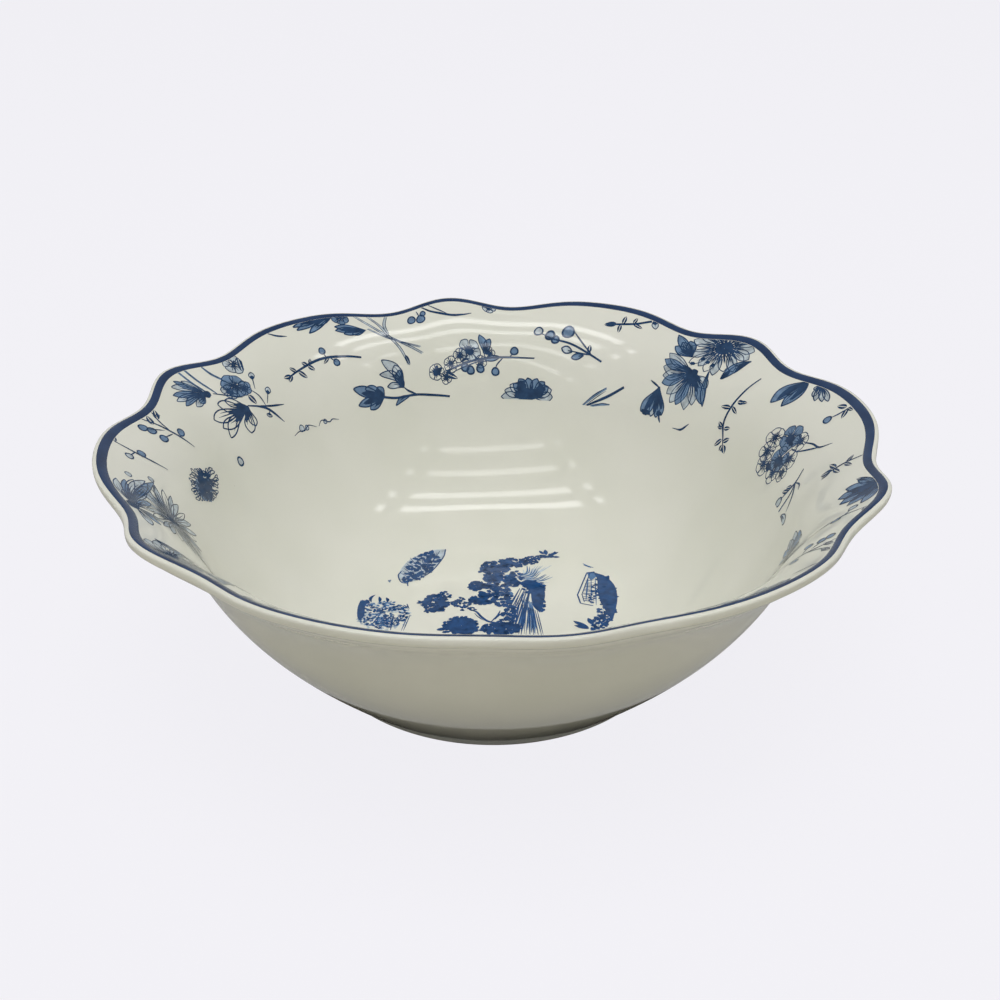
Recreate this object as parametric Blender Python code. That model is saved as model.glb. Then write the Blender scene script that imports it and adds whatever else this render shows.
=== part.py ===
"""A porcelain serving bowl with a flared, scalloped rim, modelled in metres with +Z up.

The bowl stands on its foot ring at z = 0, centred on the Z axis. Its wall is turned from one
profile. Near the lip the turned shape is pushed in and out by six wide lobes, centred on +X and
every 60 degrees from it, and by six small lobes between them. The named pieces are the glazed
body, the foot ring with its bare bearing face, and the cobalt band let into the top of the lip.
"""

import math

import bmesh
import bpy

# Overall size
RIM_RADIUS = 0.1225          # mean radius of the cobalt band's outer edge
LIP_HEIGHT = 0.0821          # mean height of the lip's top
FOOT_HEIGHT = 0.0055
FLOOR_HEIGHT = 0.0095        # inside of the well, at its centre

# Points of the wall's section, as (radius, height), with the section's slope there in degrees.
# The wall is two smooth curves on each side, which meet at its shoulder.
BASE_EDGE = (0.0645, 0.0058)
BASE_SLOPE = 44.0
SHOULDER = (0.0989, 0.0490)
INNER_SHOULDER = (0.0953, 0.0507)
SHOULDER_SLOPE = 65.0
LIP_UNDER = (0.1218, 0.0780)
LIP_UNDER_SLOPE = 38.0
LIP_INNER = (0.1186, 0.0802)
LIP_INNER_SLOPE = 36.0
WELL_EDGE = (0.0460, 0.0097)
WELL_EDGE_SLOPE = 0.0
LIP_TOP = (0.1228, 0.0823)
LIP_TOP_SLOPE = 0.0
LIP_OUTER = (0.1243, 0.0803)
LIP_OUTER_SLOPE = 90.0

# How far each curve of the section holds its slope at its ends: a longer reach, a fuller curve
WELL_REACH = 0.020
INNER_WALL_REACH = 0.028
OUTER_WALL_REACH = 0.018
BASE_REACH = 0.021
FLARE_LOW_REACH = 0.023
FLARE_HIGH_REACH = 0.007
LIP_INNER_REACH = 0.0018
LIP_TOP_REACH = 0.0016
LIP_EDGE_REACH = 0.0012

# Cobalt band
BAND_DEPTH = 0.0008
BAND_INNER_SHARE = 0.08      # where the band starts and ends along the inner half of the lip's top
BAND_OUTER_SHARE = 0.93
GAP = 0.0003                 # between pieces that touch

# Foot ring
FOOT_OUTER = 0.0598          # at the bearing face, before its edge is rounded
FOOT_INNER = 0.0540
FOOT_EDGE = 0.0011           # radius of the rounding at the bearing face
FOOT_SEAT_OUTER = 0.0623     # where the ring flares out to meet the base
FOOT_SEAT_INNER = 0.0522
FOOT_FLARE_TOP = 0.0006      # how far below its seat the ring's flare begins to turn down
FOOT_FLARE_LOW = 0.0018      # and how far below its seat it has turned down
FOOT_FLARE_OUTER = (0.0010, 0.0004)   # how far the outer side stands out at those two heights
FOOT_FLARE_INNER = (0.0008, 0.0002)   # and the inner side

# Scallops. With `turn` measured from the middle of a small lobe, the radius grows by the sum of
# the radial terms and the height by the sum of the vertical ones, each term a share of
# RIM_RADIUS times the cosine of 6, 12, 18 and 24 times the turn.
LOBES = 6
SMALL_LOBE_ANGLE = math.radians(30.0)
RADIAL_TERMS = (-0.0097, 0.0171, 0.0081, 0.0007)
VERTICAL_TERMS = (-0.0034, 0.0092, 0.0035)
SCALLOP_START = 0.0450       # height at which the scallops begin to show
SCALLOP_POWER = 1.7          # how late they grow towards the lip

# Facets
STEPS_ROUND = 108
FOOT_STEPS_ROUND = 84
WALL_STEPS = 7
FLARE_STEPS = 5
LIP_EDGE_STEPS = 3
FOOT_SIDE_STEPS = 4
FOOT_EDGE_STEPS = 3
BAND_POINTS = 4              # points across the band
LIP_SAMPLES = 60             # steps along the lip's top in which the band's edges are found
SHARP_ANGLE = math.radians(35.0)


def clear_scene():
    for obj in list(bpy.data.objects):
        bpy.data.objects.remove(obj, do_unlink=True)


def ceramic(name, colour, roughness):
    material = bpy.data.materials.new(name)
    material.use_nodes = True
    shader = material.node_tree.nodes["Principled BSDF"]
    shader.inputs["Base Color"].default_value = (*colour, 1.0)
    shader.inputs["Roughness"].default_value = roughness
    shader.inputs["Metallic"].default_value = 0.0
    return material


def cubic(start, leaving, arriving, end, steps):
    """Points of a cubic from start to end, without its first point."""
    points = []
    for step in range(1, steps + 1):
        t = step / steps
        a = (1 - t) ** 3
        b = 3 * t * (1 - t) ** 2
        c = 3 * t * t * (1 - t)
        d = t ** 3
        points.append((
            a * start[0] + b * leaving[0] + c * arriving[0] + d * end[0],
            a * start[1] + b * leaving[1] + c * arriving[1] + d * end[1],
        ))
    return points


def along(point, slope, distance):
    """The point at this distance up a line of this slope in degrees, or down it if negative."""
    angle = math.radians(slope)
    return (point[0] + distance * math.cos(angle), point[1] + distance * math.sin(angle))


def curve(start, start_slope, start_reach, end, end_slope, end_reach, steps):
    """A curve that leaves its start and meets its end along slopes, without its first point."""
    leaving = along(start, start_slope, start_reach)
    arriving = along(end, end_slope, -end_reach)
    return cubic(start, leaving, arriving, end, steps)


def inner_wall():
    """From the edge of the well floor up to the inner side of the lip."""
    well = curve(
        WELL_EDGE, WELL_EDGE_SLOPE, WELL_REACH,
        INNER_SHOULDER, SHOULDER_SLOPE, INNER_WALL_REACH,
        WALL_STEPS,
    )
    flare = curve(
        INNER_SHOULDER, SHOULDER_SLOPE, FLARE_LOW_REACH,
        LIP_INNER, LIP_INNER_SLOPE, FLARE_HIGH_REACH,
        FLARE_STEPS,
    )
    return [WELL_EDGE] + well + flare


def lip_top(steps):
    """From the inner side of the lip to its highest point, both included."""
    top = curve(
        LIP_INNER, LIP_INNER_SLOPE, LIP_INNER_REACH,
        LIP_TOP, LIP_TOP_SLOPE, LIP_TOP_REACH,
        steps,
    )
    return [LIP_INNER] + top


def lip_outside():
    """From the lip's highest point over its outer edge to the underside of the flare."""
    over = curve(
        LIP_TOP, LIP_TOP_SLOPE, LIP_EDGE_REACH,
        LIP_OUTER, LIP_OUTER_SLOPE, -LIP_EDGE_REACH,
        LIP_EDGE_STEPS,
    )
    under = curve(
        LIP_OUTER, LIP_OUTER_SLOPE, -LIP_EDGE_REACH,
        LIP_UNDER, LIP_UNDER_SLOPE, -LIP_EDGE_REACH,
        LIP_EDGE_STEPS,
    )
    return over + under


def outer_wall():
    """From the underside of the flare down to the base."""
    flare = curve(
        LIP_UNDER, LIP_UNDER_SLOPE, -FLARE_HIGH_REACH,
        SHOULDER, SHOULDER_SLOPE, -FLARE_LOW_REACH,
        FLARE_STEPS,
    )
    wall = curve(
        SHOULDER, SHOULDER_SLOPE, -OUTER_WALL_REACH,
        BASE_EDGE, BASE_SLOPE, -BASE_REACH,
        WALL_STEPS,
    )
    return flare + wall


def normals_of(points):
    """The normal at each point of an open profile that runs outwards over the lip, facing up."""
    normals = []
    for index, _ in enumerate(points):
        before = points[max(index - 1, 0)]
        after = points[min(index + 1, len(points) - 1)]
        run = (after[0] - before[0], after[1] - before[1])
        length = math.hypot(*run)
        normals.append((-run[1] / length, run[0] / length))
    return normals


def sunk(points, depth):
    return [
        (point[0] - depth * normal[0], point[1] - depth * normal[1])
        for point, normal in zip(points, normals_of(points))
    ]


def split_lip(widen):
    """The lip's top in three stretches: inside the band, under it and outside it.

    The middle stretch is the band's own, widened on both sides by `widen`.
    """
    fine = lip_top(LIP_SAMPLES)
    length = sum(math.dist(a, b) for a, b in zip(fine, fine[1:]))
    first = BAND_INNER_SHARE * length - widen
    last = BAND_OUTER_SHARE * length + widen
    inside, under, outside = [fine[0]], [], []
    travelled = 0.0
    for a, b in zip(fine, fine[1:]):
        travelled += math.dist(a, b)
        if travelled < first:
            inside.append(b)
        elif travelled <= last:
            under.append(b)
        else:
            outside.append(b)
    return inside, under, outside


def thinned(points, count):
    """About `count` points of the list, evenly picked, both ends kept."""
    last = len(points) - 1
    return [points[round(last * index / (count - 1))] for index in range(count)]


def body_profile():
    """The glazed body's section, from the well's floor over the lip and down to the base."""
    inside, under, outside = split_lip(GAP)
    rebate = sunk(thinned(under, BAND_POINTS), BAND_DEPTH + GAP)
    over = inner_wall()[:-1] + [inside[-1]] + rebate + [outside[0], LIP_TOP]
    return over + lip_outside() + outer_wall()


def band_profile():
    """The band's section: the lip's own top above, and the same line sunk below."""
    _, top, _ = split_lip(0.0)
    top = thinned(top, BAND_POINTS)
    return top + list(reversed(sunk(top, BAND_DEPTH)))


def quarter(centre, start_degrees, turn_degrees, steps):
    """Points round part of the bearing face's rounded edge, both ends included."""
    points = []
    for step in range(steps + 1):
        angle = math.radians(start_degrees + turn_degrees * step / steps)
        points.append((
            centre[0] + FOOT_EDGE * math.cos(angle),
            centre[1] + FOOT_EDGE * math.sin(angle),
        ))
    return points


def foot_profile():
    """The ring's section, from the inner edge of its seat round the bearing face and back."""
    seat_inner = (FOOT_SEAT_INNER, FOOT_HEIGHT)
    seat_outer = (FOOT_SEAT_OUTER, FOOT_HEIGHT)
    flare_top = FOOT_HEIGHT - FOOT_FLARE_TOP
    flare_low = FOOT_HEIGHT - FOOT_FLARE_LOW
    outer_edge = quarter((FOOT_OUTER - FOOT_EDGE, FOOT_EDGE), 0.0, -90.0, FOOT_EDGE_STEPS)
    inner_edge = quarter((FOOT_INNER + FOOT_EDGE, FOOT_EDGE), -90.0, -90.0, FOOT_EDGE_STEPS)
    outer_side = cubic(
        seat_outer,
        (FOOT_OUTER + FOOT_FLARE_OUTER[0], flare_top),
        (FOOT_OUTER + FOOT_FLARE_OUTER[1], flare_low),
        outer_edge[0],
        FOOT_SIDE_STEPS,
    )
    inner_side = cubic(
        inner_edge[-1],
        (FOOT_INNER - FOOT_FLARE_INNER[1], flare_low),
        (FOOT_INNER - FOOT_FLARE_INNER[0], flare_top),
        seat_inner,
        FOOT_SIDE_STEPS,
    )
    return [seat_inner, seat_outer] + outer_side + outer_edge[1:] + inner_edge + inner_side[:-1]


def scallop_share(height):
    """How much of the scallop shows at this height: none in the well, all of it at the lip."""
    share = (height - SCALLOP_START) / (LIP_HEIGHT - SCALLOP_START)
    return max(0.0, min(share, 1.0)) ** SCALLOP_POWER


def scalloped(radius, height, angle):
    """The point of the bowl that a plain turned one would have at this radius, height and angle."""
    turn = LOBES * (angle - SMALL_LOBE_ANGLE)
    out = sum(term * math.cos(n * turn) for n, term in enumerate(RADIAL_TERMS, 1))
    up = sum(term * math.cos(n * turn) for n, term in enumerate(VERTICAL_TERMS, 1))
    share = scallop_share(height)
    moved = radius + share * out * RIM_RADIUS
    return (
        moved * math.cos(angle),
        moved * math.sin(angle),
        height + share * up * RIM_RADIUS,
    )


def turned(name, profile, steps, material, from_axis):
    """A closed body turned from a profile.

    With from_axis the profile is the outside of a solid, and the first and last points are
    carried on to the axis. Otherwise it is a closed loop, which makes a ring.
    """
    mesh = bmesh.new()
    rings = []
    for radius, height in profile:
        ring = []
        for step in range(steps):
            angle = 2 * math.pi * step / steps
            ring.append(mesh.verts.new(scalloped(radius, height, angle)))
        rings.append(ring)
    pairs = list(zip(rings, rings[1:]))
    if not from_axis:
        pairs.append((rings[-1], rings[0]))
    for lower, upper in pairs:
        for step in range(steps):
            after = (step + 1) % steps
            mesh.faces.new((lower[step], lower[after], upper[after], upper[step]))
    if from_axis:
        for ring, height in ((rings[0], FLOOR_HEIGHT), (rings[-1], profile[-1][1])):
            centre = mesh.verts.new((0.0, 0.0, height))
            for step in range(steps):
                mesh.faces.new((ring[step], ring[(step + 1) % steps], centre))
    bmesh.ops.recalc_face_normals(mesh, faces=mesh.faces)
    data = bpy.data.meshes.new(name)
    mesh.to_mesh(data)
    mesh.free()
    data.materials.append(material)
    data.shade_smooth()
    data.set_sharp_from_angle(angle=SHARP_ANGLE)
    obj = bpy.data.objects.new(name, data)
    bpy.context.scene.collection.objects.link(obj)


def main():
    clear_scene()
    glaze = ceramic("porcelain_glaze", (0.82, 0.81, 0.74), 0.12)
    biscuit = ceramic("biscuit_foot", (0.74, 0.71, 0.63), 0.45)
    cobalt = ceramic("cobalt_blue", (0.03, 0.07, 0.20), 0.15)
    turned("bowl_body", body_profile(), STEPS_ROUND, glaze, from_axis=True)
    turned("foot_ring", foot_profile(), FOOT_STEPS_ROUND, biscuit, from_axis=False)
    turned("rim_band", band_profile(), STEPS_ROUND, cobalt, from_axis=False)


main()
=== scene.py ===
"""Looks of the porcelain serving bowl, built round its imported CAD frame, in metres with +Z up.

The camera and the studio come first. Then come the bowl's fine surfaces, turned from the same
section and scalloped by the same formula as the CAD solids that they replace, and the blue
transfer prints, which are thin sheets of ink that lie on the glaze.
"""

import math
import random

import bpy
import numpy as np
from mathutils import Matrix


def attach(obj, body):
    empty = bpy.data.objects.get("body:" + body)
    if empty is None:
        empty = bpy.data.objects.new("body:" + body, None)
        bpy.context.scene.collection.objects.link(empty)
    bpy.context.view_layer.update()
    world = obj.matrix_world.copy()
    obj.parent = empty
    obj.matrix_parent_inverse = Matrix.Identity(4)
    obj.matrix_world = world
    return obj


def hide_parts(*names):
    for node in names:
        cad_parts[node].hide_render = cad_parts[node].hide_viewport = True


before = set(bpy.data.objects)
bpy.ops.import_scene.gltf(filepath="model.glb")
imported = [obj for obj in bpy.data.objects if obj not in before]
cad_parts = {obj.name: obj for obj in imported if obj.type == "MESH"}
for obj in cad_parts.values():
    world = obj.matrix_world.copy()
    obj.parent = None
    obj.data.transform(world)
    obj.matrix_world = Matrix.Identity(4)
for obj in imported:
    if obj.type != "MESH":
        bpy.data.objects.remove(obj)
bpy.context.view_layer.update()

BODY = "root"
MM = 0.001

# Camera, in metres and degrees
CAMERA_REACH = 0.3965         # from the bowl's axis to the camera, along the floor
CAMERA_HEIGHT = 0.2646
CAMERA_HEADING = 8.54         # how far its view turns from +Y towards +X
CAMERA_PITCH = 27.76          # how far it looks down
CAMERA_LENS = 48.35           # millimetres, on a sensor 36 mm wide
CAMERA_SHIFT = 0.0066

# Studio
FLOOR_COLOUR = (0.880, 0.871, 0.913)
FLOOR_SHARE_LIT = 0.05        # how much of the floor's brightness comes from the lights
FLOOR_LIGHT = 0.6             # how bright a white floor would be under these lights
COVE_RADIUS = 3.0             # where the floor starts to curve up, and how far it rises
LAMP_HEIGHT = 1.5
LAMP_LENGTH = 1.46
LAMP_WIDTH = 0.12
LAMP_TURN = -3.5              # degrees from the X axis
LAMP_PLACES = (-1.36, -0.83, -0.35, -0.06)   # the rows of lamps, along the camera's heading
LAMP_CAP_PLACE = 0.98         # a short lamp past each end of a row
LAMP_CAP_LENGTH = 0.10
LAMP_RADIANCES = (2.9, 2.9, 4.0, 5.0)
SOFTBOX_HEIGHT = 1.9
SOFTBOX_SIDE = 1.27
SOFTBOX_PLACE = -0.40         # along the camera's heading
SOFTBOX_RADIANCE = 4.4
SKY_STOPS = ((0.0, 0.26), (0.48, 0.46), (0.64, 0.36), (1.0, 0.25))   # brightness, from below up
TABLE_RADIUS = 1.5
TABLE_DROP = 0.0005           # how far the table lies below the floor
TABLE_COLOUR = (0.70, 0.67, 0.57)
TABLE_PAINTED_SHADOW = (0.020, 0.016, 0.012)   # painted shadow: the table's colour under the bowl, where the bowl shades it
TABLE_SHADOW_FADE = (0.080, 0.140)   # the distances from the axis where the painted shadow starts and stops fading
# painted shade: a dark disc under the bowl that only its reflections see
SHADE_RADIUS = 0.068
SHADE_COLOUR = (0.046, 0.042, 0.034)
STUDIO_STEPS = 96

# The bowl's section: points are (radius, height). It is the CAD's, except for a finer lip
RIM_RADIUS = 0.1225
LIP_HEIGHT = 0.0821
FOOT_HEIGHT = 0.0055
FLOOR_HEIGHT = 0.0095
BASE_EDGE = (0.0645, 0.0058)
BASE_SLOPE = 44.0
SHOULDER = (0.0989, 0.0490)
INNER_SHOULDER = (0.0953, 0.0507)
SHOULDER_SLOPE = 65.0
LIP_UNDER = (0.1218, 0.0780)
LIP_UNDER_SLOPE = 53.0
LIP_INNER = (0.1186, 0.0802)
LIP_INNER_SLOPE = 36.0
WELL_EDGE = (0.0460, 0.0097)
LIP_TOP = (0.1228, 0.0823)
LIP_OUTER = (0.1239, 0.0805)
WELL_REACH = 0.020
INNER_WALL_REACH = 0.028
OUTER_WALL_REACH = 0.018
BASE_REACH = 0.021
FLARE_LOW_REACH = 0.023
FLARE_HIGH_REACH = 0.007
LIP_INNER_REACH = 0.0018
LIP_TOP_REACH = 0.0016
LIP_EDGE_REACH = 0.0012
UNDERSIDE_RISE = 0.0006       # how far the base is domed up inside the foot ring

# Cobalt line along the lip's top
LINE_WIDE = (0.22, 0.96)      # the shares of the lip's top between which it lies at its widest
LINE_BACK = (0.52, 1.00)      # and at its narrowest, at the bowl's back
LINE_FRONT = (0.72, 1.00)     # and front, where it comes over the lip's highest point
LINE_WIDEST = 8.5             # where it is widest, in degrees, and again on the other side
LINE_POINTS = 12
LINE_TAPER = 0.7              # the power by which it thins from the sides to the front and back
LINE_PROUD = 0.00005          # the colour's height above the glaze
LINE_EDGE_DIP = 1.6           # how far its edges drop, as a share of that height
LINE_DEPTH = 0.0003

# Foot ring
FOOT_OUTER = 0.0598
FOOT_INNER = 0.0540
FOOT_EDGE = 0.0011
FOOT_SEAT_OUTER = 0.0623
FOOT_SEAT_INNER = 0.0522
FOOT_BURIED = 0.0005          # how far the ring reaches up into the base

# Scallops
LOBES = 6
SMALL_LOBE_ANGLE = math.radians(30.0)
RADIAL_TERMS = (-0.0097, 0.0171, 0.0081, 0.0007)
VERTICAL_TERMS = (-0.0034, 0.0092, 0.0035)
SCALLOP_START = 0.0450
SCALLOP_POWER = 1.7

# Facets
STEPS_ROUND = 576
FLOOR_STEPS = 12
WALL_STEPS = 30
LIP_STEPS = 8
OUTSIDE_STEPS = 24
UNDERSIDE_STEPS = 10


# ---------------------------------------------------------------- camera and studio

def make_camera():
    data = bpy.data.cameras.new("camera")
    data.sensor_width = 36.0
    data.lens = CAMERA_LENS
    data.shift_x = CAMERA_SHIFT
    data.clip_end = 50.0
    camera = bpy.data.objects.new("camera", data)
    heading = math.radians(CAMERA_HEADING)
    camera.location = (
        -CAMERA_REACH * math.sin(heading),
        -CAMERA_REACH * math.cos(heading),
        CAMERA_HEIGHT,
    )
    camera.rotation_euler = (math.radians(90.0 - CAMERA_PITCH), 0.0, -heading)
    bpy.context.scene.collection.objects.link(camera)
    bpy.context.scene.camera = camera


def make_sky():
    """Soft light that fades from overhead to below, seen by the bowl and not by the camera."""
    world = bpy.data.worlds.new("studio")
    world.use_nodes = True
    nodes, links = world.node_tree.nodes, world.node_tree.links
    coordinates = nodes.new("ShaderNodeTexCoord")
    split = nodes.new("ShaderNodeSeparateXYZ")
    fade = nodes.new("ShaderNodeValToRGB")
    height = nodes.new("ShaderNodeMapRange")
    height.inputs["From Min"].default_value = -1.0
    links.new(coordinates.outputs["Generated"], split.inputs[0])
    links.new(split.outputs["Z"], height.inputs["Value"])
    links.new(height.outputs[0], fade.inputs[0])
    links.new(fade.outputs[0], nodes["Background"].inputs["Color"])
    ramp = fade.color_ramp
    while len(ramp.elements) < len(SKY_STOPS):
        ramp.elements.new(0.5)
    for element, (place, level) in zip(ramp.elements, SKY_STOPS):
        element.position = place
        element.color = (level, level, level, 1.0)
    bpy.context.scene.world = world


def lamp(name, place, length, width, radiance):
    """An area lamp that faces down, with its long side along the row."""
    data = bpy.data.lights.new(name, "AREA")
    data.shape = "RECTANGLE"
    data.size = length
    data.size_y = width
    data.energy = radiance * math.pi * length * width
    obj = bpy.data.objects.new(name, data)
    obj.location = place
    obj.rotation_euler = (0.0, 0.0, math.radians(LAMP_TURN))
    bpy.context.scene.collection.objects.link(obj)
    return obj


def make_softbox():
    """The broad soft light overhead, which gives no reflection of its own."""
    heading = math.radians(CAMERA_HEADING)
    spot = (SOFTBOX_PLACE * math.sin(heading), SOFTBOX_PLACE * math.cos(heading), SOFTBOX_HEIGHT)
    softbox = lamp("softbox", spot, SOFTBOX_SIDE, SOFTBOX_SIDE, SOFTBOX_RADIANCE)
    softbox.visible_glossy = False


def make_lamps():
    """Rows of lamps overhead, whose reflections lie as pale bars in the back of the well."""
    heading = math.radians(CAMERA_HEADING)
    row = (math.cos(math.radians(LAMP_TURN)), math.sin(math.radians(LAMP_TURN)))
    for number, (place, radiance) in enumerate(zip(LAMP_PLACES, LAMP_RADIANCES)):
        middle = (place * math.sin(heading), place * math.cos(heading))
        for shift, length in ((0.0, LAMP_LENGTH), (-LAMP_CAP_PLACE, LAMP_CAP_LENGTH),
                              (LAMP_CAP_PLACE, LAMP_CAP_LENGTH)):
            spot = (middle[0] + shift * row[0], middle[1] + shift * row[1], LAMP_HEIGHT)
            bar = lamp(f"lamp_{number}_{shift:+.1f}", spot, length, LAMP_WIDTH, radiance)
            bar.visible_diffuse = False


# ---------------------------------------------------------------- the bowl's section

def cubic(start, leaving, arriving, end, steps):
    """Points of a cubic from start to end, without its first point."""
    points = []
    for step in range(1, steps + 1):
        t = step / steps
        a = (1 - t) ** 3
        b = 3 * t * (1 - t) ** 2
        c = 3 * t * t * (1 - t)
        d = t ** 3
        points.append((
            a * start[0] + b * leaving[0] + c * arriving[0] + d * end[0],
            a * start[1] + b * leaving[1] + c * arriving[1] + d * end[1],
        ))
    return points


def along(point, slope, distance):
    angle = math.radians(slope)
    return (point[0] + distance * math.cos(angle), point[1] + distance * math.sin(angle))


def curve(start, start_slope, start_reach, end, end_slope, end_reach, steps):
    """A curve that leaves its start and meets its end along slopes, without its first point."""
    leaving = along(start, start_slope, start_reach)
    arriving = along(end, end_slope, -end_reach)
    return cubic(start, leaving, arriving, end, steps)


def well_floor(steps):
    """From the axis to the edge of the well's floor, which is very slightly dished."""
    rise = WELL_EDGE[1] - FLOOR_HEIGHT
    return [
        (WELL_EDGE[0] * step / steps, FLOOR_HEIGHT + rise * (step / steps) ** 2)
        for step in range(steps + 1)
    ]


def inner_wall(steps):
    """From the edge of the well's floor to the inner side of the lip, without its first point."""
    well = curve(
        WELL_EDGE, 0.0, WELL_REACH, INNER_SHOULDER, SHOULDER_SLOPE, INNER_WALL_REACH, steps)
    flare = curve(
        INNER_SHOULDER, SHOULDER_SLOPE, FLARE_LOW_REACH,
        LIP_INNER, LIP_INNER_SLOPE, FLARE_HIGH_REACH, steps)
    return well + flare


def lip_top(steps):
    return curve(
        LIP_INNER, LIP_INNER_SLOPE, LIP_INNER_REACH, LIP_TOP, 0.0, LIP_TOP_REACH, steps)


def outside(steps):
    """From the lip's highest point over its edge and down the outer wall to the base."""
    over = curve(LIP_TOP, 0.0, LIP_EDGE_REACH, LIP_OUTER, 90.0, -LIP_EDGE_REACH, 6)
    under = curve(
        LIP_OUTER, 90.0, -LIP_EDGE_REACH, LIP_UNDER, LIP_UNDER_SLOPE, -LIP_EDGE_REACH, 6)
    flare = curve(
        LIP_UNDER, LIP_UNDER_SLOPE, -FLARE_HIGH_REACH,
        SHOULDER, SHOULDER_SLOPE, -FLARE_LOW_REACH, steps)
    wall = curve(
        SHOULDER, SHOULDER_SLOPE, -OUTER_WALL_REACH, BASE_EDGE, BASE_SLOPE, -BASE_REACH, steps)
    return over + under + flare + wall


def underside(steps):
    """From the base's edge in to the axis, domed a little inside the foot ring."""
    points = []
    for step in range(1, steps + 1):
        radius = BASE_EDGE[0] * (1 - step / steps)
        dome = max(0.0, 1 - (radius / FOOT_SEAT_INNER) ** 2)
        points.append((radius, BASE_EDGE[1] + UNDERSIDE_RISE * dome))
    return points


def body_section():
    inside = well_floor(FLOOR_STEPS) + inner_wall(WALL_STEPS) + lip_top(LIP_STEPS)
    return inside + outside(OUTSIDE_STEPS) + underside(UNDERSIDE_STEPS)


def line_reach(angle):
    """The shares of the lip's top between which the line is drawn at an angle."""
    turn = angle - math.radians(LINE_WIDEST)
    wide = (0.5 + 0.5 * np.cos(2 * turn)) ** LINE_TAPER
    front = 0.5 - 0.5 * np.sin(turn)
    return tuple(
        wide * at_sides + (1 - wide) * (front * at_front + (1 - front) * at_back)
        for at_sides, at_front, at_back in zip(LINE_WIDE, LINE_FRONT, LINE_BACK))


def drawn_line(steps):
    """The cobalt line's section at each step round: proud of the lip, and buried at its edges."""
    top = [LIP_INNER] + lip_top(60)
    fine = np.array(top + outside(12)[:3])
    run = np.gradient(fine, axis=0)
    normal = np.stack([-run[:, 1], run[:, 0]], 1) / np.linalg.norm(run, axis=1)[:, None]
    along_top = np.linalg.norm(np.diff(fine, axis=0), axis=1).cumsum()
    place = np.concatenate([[0.0], along_top]) / along_top[len(top) - 2]
    first, last = line_reach(2 * math.pi * np.arange(steps) / steps)
    across = np.linspace(0.0, 1.0, LINE_POINTS)[:, None]
    places = first + across * (last - first)
    surface, facing = (
        np.stack([np.interp(places, place, values[:, axis]) for axis in (0, 1)], -1)
        for values in (fine, normal))
    proud = LINE_PROUD * (1.0 - LINE_EDGE_DIP * (2 * across - 1) ** 8)[..., None]
    return np.concatenate([surface + facing * proud, (surface - facing * LINE_DEPTH)[::-1]])


def foot_section():
    """The foot ring's section, from the inner edge of its seat round the bearing face and back."""
    seat_height = BASE_EDGE[1] + FOOT_BURIED
    outer_side = cubic(
        (FOOT_SEAT_OUTER + 0.0004, seat_height),
        (FOOT_OUTER + 0.0012, FOOT_HEIGHT - 0.0004),
        (FOOT_OUTER + 0.0003, FOOT_HEIGHT - 0.0018),
        (FOOT_OUTER, FOOT_EDGE),
        14,
    )
    outer_edge = [
        (FOOT_OUTER - FOOT_EDGE * (1 - math.cos(turn)), FOOT_EDGE * (1 - math.sin(turn)))
        for turn in np.radians(np.linspace(0.0, 90.0, 9)[1:])
    ]
    inner_edge = [
        (FOOT_INNER + FOOT_EDGE * (1 - math.sin(turn)), FOOT_EDGE * (1 - math.cos(turn)))
        for turn in np.radians(np.linspace(0.0, 90.0, 9))
    ]
    inner_side = cubic(
        (FOOT_INNER, FOOT_EDGE),
        (FOOT_INNER - 0.0002, FOOT_HEIGHT - 0.0018),
        (FOOT_INNER - 0.0008, FOOT_HEIGHT - 0.0004),
        (FOOT_SEAT_INNER - 0.0004, seat_height),
        14,
    )
    return outer_side + outer_edge + inner_edge + inner_side


def scalloped(radius, height, angle):
    """Where the scallops carry points of the plain turned shape. All three are arrays."""
    turn = LOBES * (angle - SMALL_LOBE_ANGLE)
    out = sum(term * np.cos(n * turn) for n, term in enumerate(RADIAL_TERMS, 1))
    up = sum(term * np.cos(n * turn) for n, term in enumerate(VERTICAL_TERMS, 1))
    share = np.clip((height - SCALLOP_START) / (LIP_HEIGHT - SCALLOP_START), 0.0, 1.0)
    share = share ** SCALLOP_POWER
    moved = radius + share * out * RIM_RADIUS
    return np.stack(
        [moved * np.cos(angle), moved * np.sin(angle), height + share * up * RIM_RADIUS], -1)


# ---------------------------------------------------------------- meshes

def add_piece(name, points, faces, material, replaced=()):
    data = bpy.data.meshes.new(name)
    data.from_pydata(np.asarray(points).tolist(), [], faces)
    data.validate()
    data.materials.append(material)
    data.shade_smooth()
    piece = bpy.data.objects.new(name, data)
    bpy.context.scene.collection.objects.link(piece)
    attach(piece, BODY)
    for node in replaced:
        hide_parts(node)
    return piece


def turned(section, steps, loop):
    """Points and faces of a section turned about the axis, the same or given for each step. A
    section that isn't a loop starts and ends on the axis."""
    section = np.array(section)
    if section.ndim == 2:
        section = np.repeat(section[:, None], steps, axis=1)
    rows = section if loop else section[1:-1]
    angles = 2 * math.pi * np.arange(steps) / steps
    grid = scalloped(rows[..., 0], rows[..., 1], angles[None, :])
    points = grid.reshape(-1, 3).tolist()
    faces = []
    count = len(rows)
    for row in range(count if loop else count - 1):
        low, high = row * steps, (row + 1) % count * steps
        for step in range(steps):
            after = (step + 1) % steps
            faces.append((low + step, low + after, high + after, high + step))
    if not loop:
        first, last = len(points), len(points) + 1
        points += [(0.0, 0.0, section[0, 0, 1]), (0.0, 0.0, section[-1, 0, 1])]
        top = (count - 1) * steps
        for step in range(steps):
            after = (step + 1) % steps
            faces.append((first, after, step))
            faces.append((last, top + step, top + after))
    return points, faces


# ---------------------------------------------------------------- the glaze as a page for prints

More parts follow.
